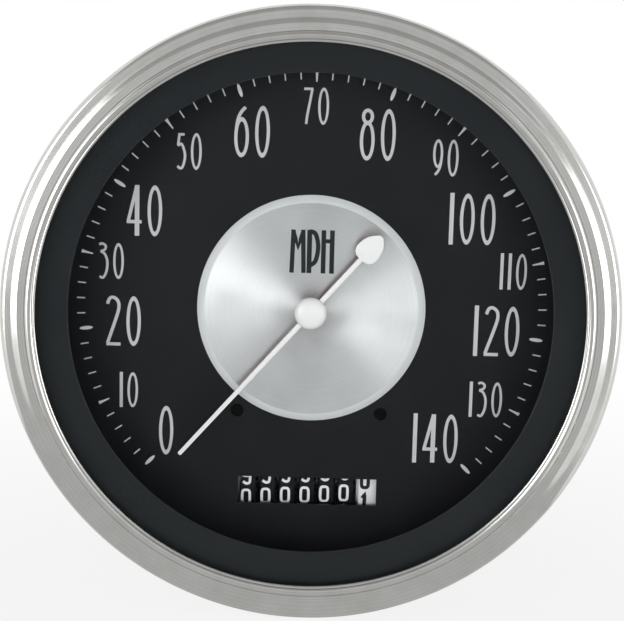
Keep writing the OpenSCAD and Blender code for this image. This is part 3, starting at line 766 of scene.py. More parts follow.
DRUM_WHITE = Paint("drum white", "drum_white", (0.89, 0.90, 0.92), (0.83, 0.84, 0.86), 0.5)
RUBBER = Paint("gasket rubber", "gasket_rubber", (0.02, 0.02, 0.02), (0.05, 0.05, 0.05), 0.8)
LENS = ClearGlass("lens clear glass", "clear_glass", (0.985, 0.992, 0.99), 1.08, 0.02)
BULB = ClearGlass("bulb glass", "bulb_glass", (0.95, 0.93, 0.86), 1.45, 0.05)

NODE_FINISHES: dict[str, Finish] = {finish.slot: finish for finish in (
    BRIGHT_BEZEL, LENS, RUBBER, SHROUD_BLACK, CASE_STEEL, DIAL_BLACK, SCREW_BLACK, SPUN_DISC, WHITE,
    PLATED, BRASS, CUP_METAL, CAST, MAGNET, DRUM_BLACK, DRUM_WHITE, BULB)}


def make_piece(name: str, form: Shape | Mesh, finish: Finish, nodes: Sequence[str] = (),
               body: str = HOUSING, edge: float = 0.0) -> None:
    """Turns a shape or a mesh into a finished piece on its body.

    Args:
        name: the piece's name.
        form: its shape or mesh, in millimetres.
        finish: what it is made of.
        nodes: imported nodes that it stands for.
        body: the body that it moves with.
        edge: rounding of its sharp edges.
    """
    mesh = form.mesh(name) if isinstance(form, Shape) else form
    if edge:
        break_edges(mesh, edge)
    mesh.transform(TO_WORLD)
    mesh.materials.clear()
    mesh.materials.append(finish.material())
    mesh.shade_smooth()
    mesh.set_sharp_from_angle(angle=math.radians(SHARP_ANGLE))
    mesh.name = name
    piece = carry(name, mesh)
    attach(piece, body)
    if nodes:
        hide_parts(*nodes)
    log.info("%s: %d faces on %s", name, len(mesh.polygons), body)


# Geometry Nodes

class Grower:
    """A Geometry Nodes tree with named inputs."""
    name: str
    inputs: dict[str, str]

    def tree(self) -> bpy.types.NodeTree:
        """Makes the tree on its first use.

        Returns:
            The tree.
        """
        found = bpy.data.node_groups.get(self.name)
        if found:
            return found
        made = bpy.data.node_groups.new(self.name, "GeometryNodeTree")
        for name, kind in {"Geometry": "Geometry", **self.inputs, "Finish": "Material"}.items():
            made.interface.new_socket(name=name, in_out="INPUT", socket_type="NodeSocket" + kind)
        made.interface.new_socket(name="Geometry", in_out="OUTPUT", socket_type="NodeSocketGeometry")
        graph = Graph(made)
        given = graph.add("NodeGroupInput").outputs
        whole = graph.add("GeometryNodeRealizeInstances", {0: self.draw(graph, given)}).outputs[0]
        inputs = {"Geometry": whole, "Material": given["Finish"]}
        dressed = graph.add("GeometryNodeSetMaterial", inputs).outputs[0]
        graph.add("NodeGroupOutput", {0: dressed})
        return made

    def draw(self, graph: Graph, given: bpy.types.NodeOutputs) -> Socket:
        """Builds what the tree makes, and returns its geometry."""
        raise NotImplementedError

    def grow(self, name: str, seed: Shape, finish: Finish, **values: float) -> Mesh:
        """Runs the tree.

        Args:
            name: name of the result.
            seed: the shape that it starts from.
            finish: the material of the result.
            values: sizes for the named inputs, with _ for a space.

        Returns:
            A plain mesh.
        """
        carrier = carry(name, seed.mesh(name))
        step = carrier.modifiers.new(name, "NODES")
        step.node_group = self.tree()
        wanted = {key.replace("_", " "): value for key, value in values.items()}
        wanted["finish"] = finish.material()
        for item in step.node_group.interface.items_tree:
            if item.in_out == "INPUT" and item.name.lower() in wanted:
                step[item.identifier] = wanted[item.name.lower()]
        return plain(name, carrier)


class RoundRow(Grower):
    """Repeats one shape about the z axis, with every so many left out."""
    name = "row about the axis"
    inputs = {"Count": "Int", "First Angle": "Float", "Step Angle": "Float",
              "Gap Every": "Int", "Gap Start": "Int"}
    no_gap = 100

    def draw(self, graph: Graph, given: bpy.types.NodeOutputs) -> Socket:
        """Builds the row from points at the axis, each turned by its number.

        Args:
            graph: the tree.
            given: its inputs.

        Returns:
            The row.
        """
        points = graph.add("GeometryNodePoints", {"Count": given["Count"]}).outputs[0]
        number = graph.add("GeometryNodeInputIndex").outputs[0]
        turned_by = graph.math("MULTIPLY", number, given["Step Angle"])
        inputs = {"Axis": (0.0, 0.0, 1.0), "Angle": graph.math("ADD", given["First Angle"], turned_by)}
        turn = graph.add("FunctionNodeAxisAngleToRotation", inputs).outputs[0]
        shown = graph.math("MODULO", graph.math("ADD", number, given["Gap Start"]), given["Gap Every"])
        inputs = {"Points": points, "Selection": shown, "Instance": given["Geometry"], "Rotation": turn}
        return graph.add("GeometryNodeInstanceOnPoints", inputs).outputs[0]

    def repeat(self, name: str, seed: Shape, finish: Finish, count: int, first: float, step: float,
               gap_every: int = no_gap, gap_start: int = 1) -> Mesh:
        """Sets count copies of a shape round the axis, with angles in radians."""
        return self.grow(name, seed, finish, count=count, first_angle=first, step_angle=step,
                         gap_every=gap_every, gap_start=gap_start)


@dataclass(frozen=True)
class ThreadSize:
    """Outer radius, pitch and depth of a screw thread."""
    radius: float
    pitch: float
    ridge: float

    @property
    def core(self) -> float:
        """Radius at the foot of the thread."""
        return self.radius - self.ridge


class Thread(Grower):
    """Winds a ridge along the z axis and keeps the core that it starts from."""
    name = "screw thread"
    inputs = {"Radius": "Float", "Turns": "Float", "Length": "Float", "Ridge": "Float"}
    turn_steps = 28
    ridge_sides = 4

    def draw(self, graph: Graph, given: bpy.types.NodeOutputs) -> Socket:
        """Builds the ridge along a spiral and joins it to the core.

        Args:
            graph: the tree.
            given: its inputs.

        Returns:
            The core with its thread.
        """
        inputs = {"Resolution": self.turn_steps, "Rotations": given["Turns"],
                  "Start Radius": given["Radius"], "End Radius": given["Radius"],
                  "Height": given["Length"], "Reverse": True}
        path = graph.add("GeometryNodeCurveSpiral", inputs).outputs[0]
        upright = graph.add("GeometryNodeSetCurveNormal", {"Curve": path}, mode="Z_UP").outputs[0]
        inputs = {"Resolution": self.ridge_sides, "Radius": given["Ridge"]}
        section = graph.add("GeometryNodeCurvePrimitiveCircle", inputs).outputs[0]
        inputs = {"Curve": upright, "Profile Curve": section, "Fill Caps": True}
        ridge = graph.add("GeometryNodeCurveToMesh", inputs).outputs[0]
        join = graph.add("GeometryNodeJoinGeometry")
        for part in (ridge, given["Geometry"]):
            graph.tree.links.new(part, join.inputs[0])
        return join.outputs[0]

    def wind(self, name: str, section: Sequence[Point], segments: int, low: float, length: float,
             size: ThreadSize) -> Mesh:
        """Turns a core and winds its thread.

        Args:
            name: name of the result.
            section: radius and height of each corner of the core.
            segments: steps of the core's turn.
            low: height at which the thread starts.
            length: how far it runs.
            size: its size.

        Returns:
            A plain mesh.
        """
        down = Matrix.Translation((0, 0, -low))
        mesh = self.grow(name, Shape().lathe(section, down, segments), PLATED, radius=size.core,
                         turns=length / size.pitch, length=length, ridge=size.ridge)
        mesh.transform(down.inverted())
        return mesh


# Figures

@dataclass(frozen=True)
class Stroke:
    """One line of a figure, in half widths and half heights from its middle."""
    points: tuple[Point, ...]
    rounded: bool = False
    closed: bool = False
    weight: float = 1.0


def oval(x: float, y: float, wide: float, tall: float) -> Stroke:
    """A closed upright ellipse as a stroke."""
    return Stroke(tuple(arc(x, y, wide, 0, 360, tall, OVAL_STEPS)[:-1]), closed=True)


def box(wide: float = 1.0, y: float = 0.0, tall: float = 1.0, power: float = 0.5) -> Stroke:
    """A closed rectangle with well rounded corners as a stroke.

    Args:
        wide: half its width.
        y: its middle, up.
        tall: half its height.
        power: 1 for an ellipse, and less for squarer corners.

    Returns:
        The stroke.
    """
    points = []
    for u, v in circle(0, 0, 1, OVAL_STEPS):
        across, up = (math.copysign(abs(part) ** power, part) for part in (u, v))
        points.append((across * wide, up * tall + y))
    return Stroke(tuple(points), closed=True)


def curve(*points: Point) -> Stroke:
    """A rounded stroke through points."""
    return Stroke(points, rounded=True)


def line(*points: Point, weight: float = 1.0) -> Stroke:
    """A stroke of straight parts."""
    return Stroke(points, weight=weight)


def turned(strokes: Sequence[Stroke]) -> tuple[Stroke, ...]:
    """Strokes turned half round."""
    return tuple(replace(s, points=tuple((-x, -y) for x, y in s.points)) for s in strokes)


TALL_SIX = (oval(0, -0.24, 1, 0.76), curve((-0.98, -0.1), (-0.72, 0.42), (-0.2, 0.76), (0.62, 1.0)))
TALL_FIGURES: dict[str, tuple[Stroke, ...]] = {
    "0": (oval(0, 0, 1, 1),),
    "1": (line((0, -1.08), (0, 1.08), weight=1.3),),
    "2": (curve((-1.02, 0.72), (-0.62, 0.95), (0.05, 1.0), (0.8, 0.86), (1.0, 0.6), (0.62, 0.2),
                (-1.0, -0.96)),
          line((-1.2, -1.0), (1.3, -1.0))),
    "3": (curve((-1.12, 0.95), (-0.7, 1.02), (-0.1, 1.01), (0.48, 0.91), (0.55, 0.77), (0.15, 0.64),
                (-0.8, 0.56)),
          curve((-0.8, 0.56), (0.15, 0.45), (0.8, 0.16), (1.0, -0.16), (0.76, -0.63), (-0.1, -1.0),
                (-1.07, -0.94))),
    "4": (line((0.5, -1.06), (0.5, 1.06), weight=1.4), line((-1.3, -0.47), (1.3, -0.47), weight=1.05),
          line((0.4, 1.0), (-1.05, -0.46))),
    "5": (line((0.85, 0.98), (-0.5, 0.98), (-0.85, 0.32)),
          curve((-0.85, 0.32), (0.15, 0.4), (1.0, -0.2), (0.62, -0.78), (-0.05, -1.0), (-1.0, -0.88))),
    "6": TALL_SIX,
    "7": (line((-1.2, 0.98), (1.15, 0.98)),
          curve((0.95, 0.98), (0.35, 0.2), (-0.25, -0.55), (-0.5, -1.05))),
    "8": (oval(0, 0.74, 0.76, 0.26), oval(0, -0.25, 1, 0.75)),
    "9": turned(TALL_SIX),
    "M": (line((-1.0, -1.05), (-0.8, 1.05)), line((1.0, -1.05), (0.8, 1.05)),
          line((-0.82, 1.0), (0, 0.22), (0.82, 1.0), weight=0.85)),
    "P": (line((-0.95, -1.05), (-0.95, 1.05), weight=1.1),
          curve((-0.95, 0.98), (0.35, 0.86), (1.0, 0.25), (0.45, -0.45), (-0.95, -0.7))),
    "H": (line((-0.95, -1.05), (-0.95, 1.05), weight=1.05), line((0.95, -1.05), (0.95, 1.05), weight=1.05),
          line((-0.95, 0.52), (0.95, 0.52), weight=0.9)),
}

LOW_BOX = box(y=-0.48, tall=0.52)
ROUND_SIX = (LOW_BOX, curve((-1, -0.3), (-1, 0.45), (-0.8, 0.9), (0, 1), (0.85, 0.75)))
ROUND_FIGURES: dict[str, tuple[Stroke, ...]] = {
    "0": (box(),),
    "1": (line((-0.7, 0.48), (0.0, 1), (0.0, -1.1), weight=1.1),),
    "2": (curve((-1, 0.6), (-0.6, 0.94), (0, 1), (0.75, 0.9), (1, 0.5), (0.5, 0.02), (-0.95, -0.95)),
          line((-1.2, -1), (1.2, -1))),
    "3": (curve((-1, 0.66), (-0.5, 0.97), (0.3, 0.98), (0.95, 0.62), (0.75, 0.2), (0, 0.06)),
          curve((0, 0.06), (0.8, -0.06), (1, -0.5), (0.5, -0.95), (-0.4, -0.98), (-1, -0.66))),
    "4": (line((0.45, -1.1), (0.45, 1.0), (-1, -0.42), (1.2, -0.42)),),
    "5": (line((0.95, 1), (-0.8, 1), (-0.9, 0.12)),
          curve((-0.9, 0.12), (0, 0.28), (0.85, 0.06), (1, -0.45), (0.5, -0.95), (-0.4, -0.98),
                (-1, -0.68))),
    "6": ROUND_SIX,
    "7": (line((-1.2, 1), (1, 1), (-0.3, -1.1)),),
    "8": (box(wide=0.9, y=0.53, tall=0.47), LOW_BOX),
    "9": turned(ROUND_SIX),
}


@dataclass(frozen=True)
class Lettering:
    """One size of one style of figures, printed with a little body."""
    figures: dict[str, tuple[Stroke, ...]]
    height: float
    widths: dict[str, float]
    stroke: float
    gap: float = 0.0
    swell: float = 0.0
    rise: float = 0.05
    sink: float = 0.02
    layer: float = 0.008
    step: float = 2.0

    def width(self, figure: str) -> float:
        """How wide a figure is."""
        return self.widths.get(figure, self.widths[""])

    def draw(self, shape: Shape, figure: str, x: float, y: float, floor: float) -> None:
        """Prints one figure.

        Args:
            shape: what it is drawn into.
            figure: the figure.
            x: its middle, across.
            y: its middle, up.
            floor: height of the surface that it is printed on.
        """
        half_w, half_h = (self.width(figure) - self.stroke) / 2, (self.height - self.stroke) / 2
        for layer, part in enumerate(self.figures[figure]):
            points = smooth(part.points) if part.rounded else part.points
            path = [(x + u * half_w, y + v * half_h) for u, v in points]
            path = refine([*path, path[0]], self.step)[:-1] if part.closed else refine(path, self.step)
            wide = self.stroke * part.weight
            bowl = part.closed and self.swell
            edges = self.bowl(path, wide) if bowl else edges_of_stroke(path, wide, part.closed)
            shape.band(*edges, floor - self.sink, floor + self.rise + layer * self.layer, part.closed)

    def bowl(self, path: Sequence[Point], wide: float) -> tuple[list[Point], list[Point]]:
        """The edges of an oval stroke that is stronger at its top and foot.

        Args:
            path: the middle of the stroke.
            wide: its width at the sides.

        Returns:
            The outer edge and the inner edge.
        """
        across, up = [p[0] for p in path], [p[1] for p in path]
        x, y = (min(across) + max(across)) / 2, (min(up) + max(up)) / 2
        half_w, half_h = max(across) - x, max(up) - y
        swell = self.swell * half_h / (self.height / 2)
        outer, inner = ([(x + (u - x) * (1 + sideways / half_w), y + (v - y) * (1 + upwards / half_h))
                         for u, v in path]
                        for sideways, upwards in ((wide / 2, wide / 2), (-wide / 2, -wide / 2 - swell)))
        return outer, inner

    def line(self, shape: Shape, figures: str, x: float, y: float, floor: float) -> None:
        """Prints figures side by side.

        Args:
            shape: what they are drawn into.
            figures: the figures.
            x: the middle of them all, across.
            y: their middle, up.
            floor: height of the surface that they are printed on.
        """
        left = x - (sum(self.width(f) for f in figures) + self.gap * (len(figures) - 1)) / 2
        for figure in figures:
            wide = self.width(figure)
            self.draw(shape, figure, left + wide / 2, y, floor)
            left += wide + self.gap


BIG_FIGURES = Lettering(TALL_FIGURES, 10.6, {"": 3.05, "1": 0.95}, stroke=0.67, gap=1.25, swell=0.28)
SMALL_FIGURES = Lettering(TALL_FIGURES, 7.55, {"": 2.08, "1": 0.72, "0": 2.25}, stroke=0.51, gap=0.95,
                          swell=0.13)
CAPTION = Lettering(TALL_FIGURES, 9.5, {"": 2.78, "M": 3.42}, stroke=0.92, gap=0.15)
FIGURE_PLACES: dict[str, Point] = {
    "0": (-30.2, -27.0), "10": (-38.2, -18.4), "20": (-39.4, -3.65), "30": (-42.0, 9.0),
    "40": (-35.1, 19.7), "50": (-26.0, 32.2), "60": (-13.05, 36.57), "70": (0.0, 42.1),
    "80": (12.8, 36.57), "90": (26.9, 32.2), "100": (32.9, 19.7), "110": (41.9, 9.0),
    "120": (38.95, -3.7), "130": (37.3, -18.4), "140": (27.0, -27.15),
}


# Sub-assemblies

@dataclass
class FrontRing:
    """The bright bezel with the glass, the shroud and the can's dark lining behind it.

    The points of flat run outwards from the second groove, those of fall inwards from the outer edge,
    and both downwards from the top.
    """
    lip_r: float = 54.7
    lip_bead: float = 0.34
    lip_drop: float = 0.25
    bead_r: float = 1.05
    bead_lean: float = 40.0
    bead_step: float = 0.63
    groove: float = 0.3
    groove_w: float = 0.12
    flat: tuple[Point, ...] = ((0.15, 0.44), (0.3, 0.445))
    flat_end: Point = (3.75, 0.478)
    fall: tuple[Point, ...] = ((3.65, 0.48), (3.45, 0.52), (3.1, 0.62), (2.75, 0.72), (2.5, 0.76),
                               (2.3, 0.78), (1.3, 0.84))
    edge_r: float = 1.3
    roll_r: float = 0.6
    sheet: float = 0.8
    hem: float = 2.2
    hollow_r: float = 2.0
    hollow_drop: float = 2.7
    glass_edge: float = 0.25
    mouth_r: float = 55.9
    shroud_r: float = 48.9
    shroud_drop: float = 1.3
    shroud_lip: float = 0.3
    shroud_sheet: float = 0.6
    shroud_support: float = 0.02
    lining: float = 0.3
    lining_end: float = -24.0
    lining_gap: float = 0.02

    def section(self, outer: float, seat: float, top: float, foot: float) -> list[Point]:
        """The bezel's rolled section.

        Args:
            outer: outer radius.
            seat: height of the glass face that it holds.
            top: height of the inner bead.
            foot: height of its rear edge.

        Returns:
            Radius and height of each corner.
        """
        small, large, lean = self.lip_bead, self.bead_r, self.bead_lean
        bead_x = self.lip_r + 2 * small + self.bead_step
        lip = arc(self.lip_r + small, top - self.lip_drop - small, small, 180, 40, steps=14)
        bead = arc(bead_x, top - large, large, 90 + lean, 90 - lean, steps=22)
        first = ((lip[-1][0] + bead[0][0]) / 2, bead[0][1] - self.groove)
        second = (bead[-1][0] + self.groove_w, bead[-1][1] - self.groove)
        flat = [(second[0] + out, top - drop) for out, drop in self.flat]
        flat_end, *fall = [(outer - inset, top - drop) for inset, drop in (self.flat_end, *self.fall)]
        edge = arc(outer - self.edge_r, fall[-1][1] - self.edge_r, self.edge_r, 90, 0)
        roll = arc(outer - self.roll_r, foot + self.roll_r, self.roll_r, 0, -90, steps=12)
        hem = [(outer - self.hem, foot), (outer - self.hem, foot + self.sheet),
               (outer - self.sheet, foot + self.sheet)]
        inside = outer - self.hollow_r
        hollow = arc(inside, top - self.hollow_drop, self.hollow_r - self.sheet, 0, 80, steps=12)
        return [(inside, seat), (self.lip_r, seat), *lip, first, *bead, second, *flat, flat_end,
                *smooth(fall, steps=5), *edge[1:], *roll, *hem, *hollow]

    def cone(self, shroud: Span) -> Shape:
        """The shroud, with a small rolled lip round its opening.

        Args:
            shroud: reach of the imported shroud.

        Returns:
            Its shape.
        """
        mouth, roll = (self.mouth_r, shroud.front), self.shroud_lip
        lip = arc(self.shroud_r + roll, shroud.front - self.shroud_drop - roll, roll, 75, 270, steps=10)
        slope = [tuple(Vector(mouth).lerp(Vector(lip[0]), share))
                 for share in (self.shroud_support, 1 - self.shroud_support)]
        return Shape().lathe([(shroud.right, shroud.back), (shroud.right, shroud.front), mouth,
                              *slope, *lip, (self.mouth_r + self.shroud_sheet, shroud.back)])

    def sleeve(self, front: float) -> Shape:
        """The thin lining inside the can.

        Args:
            front: height of its front edge.

        Returns:
            Its shape.
        """
        wall, thin = Case.spigot_r - Case.wall - self.lining_gap, self.lining
        turn, step, end = Case.spigot_end, Case.step, self.lining_end
        outside = [(wall - step, end), (wall - step, turn - step), (wall, turn), (wall, front)]
        inside = [(wall - thin, front), (wall - thin, turn + thin / 2),
                  (wall - step - thin, turn - step + thin / 2), (wall - step - thin, end)]
        return Shape().lathe(outside + inside)

    def build(self) -> None:
        """Makes the bezel, the glass, the shroud and the lining."""
        bezel, glass, shroud = Span.of("bezel"), Span.of("lens_glass"), Span.of("dial_shroud")
        ring = Shape().lathe(self.section(bezel.right, glass.front, bezel.front, bezel.back))
        make_piece("bezel_ring", ring, BRIGHT_BEZEL, ["bezel"])
        pane = Shape().lathe(plate(0, glass.right, glass.back, glass.front, self.glass_edge))
        make_piece("lens_pane", pane, LENS, ["lens_glass"])
        make_piece("shroud_cone", self.cone(shroud), SHROUD_BLACK, ["dial_shroud"])
        make_piece("case_lining", self.sleeve(shroud.back), LINING)


@dataclass(frozen=True)
class MarkRow:
    """One kind of mark round the dial: how many, from which speed, at which steps, and its gaps."""
    name: str
    count: int
    first: float
    every: float
    gap_every: int = RoundRow.no_gap
    gap_start: int = 1


@dataclass
class Dial:
    """The dial's prints and screws, and the spun disc in its middle.

    A mark is given as radius and half width along it, or as middle, half length and half width.
    """
    start: float = 225.0
    per_mph: float = 270 / 140
    fine: MarkRow = MarkRow("fine_marks", 71, 0, 2, 5, 0)
    fine_mark: tuple[Point, ...] = ((47.5, 0.13), (49.2, 0.13))
    lens: MarkRow = MarkRow("lens_marks", 8, 0, 20)
    lens_mark: tuple[float, float, float] = (47.55, 1.4, 0.38)
    wedge: MarkRow = MarkRow("wedge_marks", 7, 10, 20)
    wedge_mark: tuple[Point, ...] = ((47.0, 0.12), (48.6, 0.24), (49.4, 0.36))
    disc_hole: float = 2.0
    disc_bevel: float = 1.6
    disc_edge: float = 0.25
    bevel_soft: tuple[Point, ...] = ((0.1, 0.08), (0.1, 0.02))
    caption_at: Point = (-0.1, 12.2)
    screw_r: float = 1.4
    screw_play: float = 0.02
    screw_shank: float = 0.77
    screw_sink: float = 0.12
    screw_head: float = 0.3
    screw_soft: float = 0.16
    screw_slot: Point = (2.0, 0.25)
    screw_slot_deep: float = 0.2

    def marks(self, floor: float) -> Mesh:
        """Rows of fine, lens-shaped and wedge-shaped marks round the dial.

        Args:
            floor: height of the dial.

        Returns:
            Their mesh.
        """
        low, high = floor - Lettering.sink, floor + Lettering.rise
        fine, wedge = (Shape().band(edge, [(r, -half) for r, half in edge], low, high)
                       for edge in (self.fine_mark, self.wedge_mark))
        middle, half_l, half_w = self.lens_mark
        lens = Shape().prism(arc(middle, 0, half_l, 0, 360, half_w, steps=24)[:-1], low, high)
        start, step = math.radians(self.start), math.radians(self.per_mph)
        return merge([RoundRow().repeat(row.name, mark, MARK_INK, row.count, start - row.first * step,
                                        -row.every * step, row.gap_every, row.gap_start)
                      for row, mark in ((self.fine, fine), (self.lens, lens), (self.wedge, wedge))])

    def figures(self, floor: float) -> Shape:
        """The speed figures, each where the dial has it, and every second one large.

        Args:
            floor: height of the dial.

        Returns:
            Their shape.
        """
        shape = Shape()
        for text, (x, y) in FIGURE_PLACES.items():
            style = SMALL_FIGURES if int(text) % 20 else BIG_FIGURES
            style.line(shape, text, x, y, floor)
        return shape

    def screws(self, face: float) -> Mesh:
        """Two slotted screws, sunk a little into the dial, each slot at an angle of its own.

        Args:
            face: height of the dial.

        Returns:
            Their mesh.
        """
        reach = Span.of("dial_screws")
        top, r = face - self.screw_sink, self.screw_r
        head, wide = top - self.screw_head, r - self.screw_play
        section = [(0, reach.back), (self.screw_shank, reach.back), (self.screw_shank, head), (wide, head),
                   (wide, top - self.screw_soft), (r - self.screw_soft, top), (0, top)]
        across = (reach.left + r, reach.right - r)
        return slotted_screws(section, [(x, reach.bottom + r) for x in across], across, self.screw_slot,
                              top - self.screw_slot_deep, top + CUT_PAST)

    def build(self) -> None:
        """Makes the screws, the disc, the marks, the figures and the caption."""
        face, disc = Span.of("dial_plate").front, Span.of("dial_centre_disc")
        make_piece("dial_screw_heads", self.screws(face), SCREW_BLACK, ["dial_screws"])
        rim, top, hole = disc.right, disc.front, self.disc_hole
        flat = rim - self.disc_bevel
        turned_face = Shape().lathe([(hole, face), (flat, face), (flat, top), (hole, top)])
        make_piece("spun_disc", turned_face, SPUN_DISC, ["dial_centre_disc"])
        edge = face + self.disc_edge
        (low_in, low_up), (high_out, high_down) = self.bevel_soft
        bevel = Shape().lathe([(flat, face), (rim, face), (rim, edge), (rim - low_in, edge + low_up),
                               (flat + high_out, top - high_down), (flat, top)])
        make_piece("disc_bevel", bevel, CUT_BEVEL)
        make_piece("dial_marks", self.marks(face), MARK_INK)
        make_piece("dial_figures", self.figures(face), FIGURE_INK)
        caption = Shape()
        CAPTION.line(caption, "MPH", *self.caption_at, top)
        make_piece("disc_caption", caption, CAPTION_INK)


@dataclass
class Pointer:
    """The white needle with its spade tail, and the cap on its hub."""
    body: str = "pointer_body"
    rest: float = 228.8
    length: float = 40.8
    root: float = 1.0
    tip: float = 0.82
    tip_corner: float = 0.1
    tail: float = 21.5
    hub_r: float = 3.0
    edge: float = 0.1
    back_coat: float = 0.12
    spade: tuple[Point, ...] = ((6.4, 0.5), (6.28, 1.2), (5.85, 1.93), (5.0, 2.44), (3.9, 2.53),
                                (2.55, 2.24), (1.8, 1.94), (1.3, 1.62), (0.7, 1.08), (0.12, 0.52),
                                (0.0, 0.2))
    cap_wall: float = 0.25
    cap_power: float = 0.8
    cap_steps: int = 20
    cap_segments: int = 96

    def outline(self) -> list[Point]:
        """The needle's outline, pointing to the right.

        Returns:
            Its corners.
        """
        join = math.degrees(math.asin(self.root / 2 / self.hub_r))
        hub = arc(0, 0, self.hub_r, join, 180 - join, steps=24)
        leaf = smooth([(x - self.tail, y) for x, y in self.spade], steps=4)
        half, corner = self.tip / 2, self.tip_corner
        upper = [(self.length, half - corner), (self.length - corner, half), *hub, *leaf]
        return upper + [(x, -y) for x, y in reversed(upper)]

    def button(self) -> Shape:
        """The domed cap.

        Returns:
            Its shape.
        """
        cap = Span.of("pointer_cap")
        wall, rise = self.cap_wall, cap.front - cap.back
        angles = [math.pi / 2 * i / self.cap_steps for i in range(self.cap_steps)]
        dome = [(cap.right * math.cos(a) ** self.cap_power,
                 cap.back + rise * (wall + (1 - wall) * math.sin(a))) for a in angles]
        return Shape().lathe([(0, cap.back), (cap.right, cap.back), *dome, (0, cap.front)],
                             segments=self.cap_segments)

    def build(self) -> None:
        """Makes the needle, the coat on its back and the cap."""
        needle = Span.of("pointer")
        turn = Matrix.Rotation(math.radians(self.rest), 4, "Z")
        seam = needle.back + self.back_coat
        blade = Shape().prism(self.outline(), seam, needle.front, turn)
        make_piece("needle", blade, WHITE, ["pointer"], self.body, self.edge)
        under = Shape().prism(self.outline(), needle.back, seam, turn)
        make_piece("needle_back", under, NEEDLE_BACK, body=self.body)
        make_piece("hub_cap", self.button(), WHITE, ["pointer_cap"], self.body)


@dataclass(frozen=True)
class Drum:
    """One counting drum: its node and body, the middle of its figures, and where its nought stands."""
    node: str
    body: str
    middle: float
    zero: float


@dataclass
class Odometer:
    """The figures that run round the seven counting drums, the last of them in dark ink."""
    drums: tuple[Drum, ...] = (
        Drum("drum_100000", "drum_100000_body", -13.06, -17.0),
        Drum("drum_10000", "drum_10000_body", -8.86, -14.5),
        Drum("drum_1000", "drum_1000_body", -4.66, -12.0),
        Drum("drum_100", "drum_100_body", -0.46, -10.6),
        Drum("drum_10", "drum_10_body", 3.74, -8.0),
        Drum("drum_1", "drum_1_body", 7.94, -5.5),
        Drum("drum_tenth", "tenth_body", 12.45, 17.0),
    )
    pitch: float = 36.0
    height: float = 3.9
    wide: float = 2.2
    stroke: float = 0.56
    last_stroke: float = 0.74
    skin: float = 0.03
    step: float = 0.35

    def figures(self, drum: Drum, style: Lettering) -> Shape:
        """Ten figures, laid round a drum.

        Args:
            drum: the drum.
            style: how they are printed.

        Returns:
            Their shape.
        """
        reach = Span.of(drum.node)
        radius = (reach.top - reach.bottom) / 2
        axis_y, axis_z = (reach.top + reach.bottom) / 2, (reach.front + reach.back) / 2
        shape = Shape()
        for number in range(10):
            around = radius * math.radians(drum.zero - self.pitch * number)
            style.draw(shape, str(number), drum.middle, around, 0.0)

        def wrap(p: Vector) -> Vector:
            """Lays a point of the flat print on the drum."""
            turn, out = p.y / radius, radius + p.z
            return Vector((p.x, axis_y + out * math.sin(turn), axis_z + out * math.cos(turn)))

        return shape.warp(wrap)

    def build(self) -> None:
        """Prints every drum."""
        for drum in self.drums:
            last = drum is self.drums[-1]
            style = Lettering(ROUND_FIGURES, self.height, {"": self.wide}, rise=self.skin, sink=self.skin,
                              stroke=self.last_stroke if last else self.stroke, step=self.step)
            ink = CAPTION_INK if last else DRUM_WHITE
            make_piece(drum.node + "_figures", self.figures(drum, style), ink, body=drum.body)


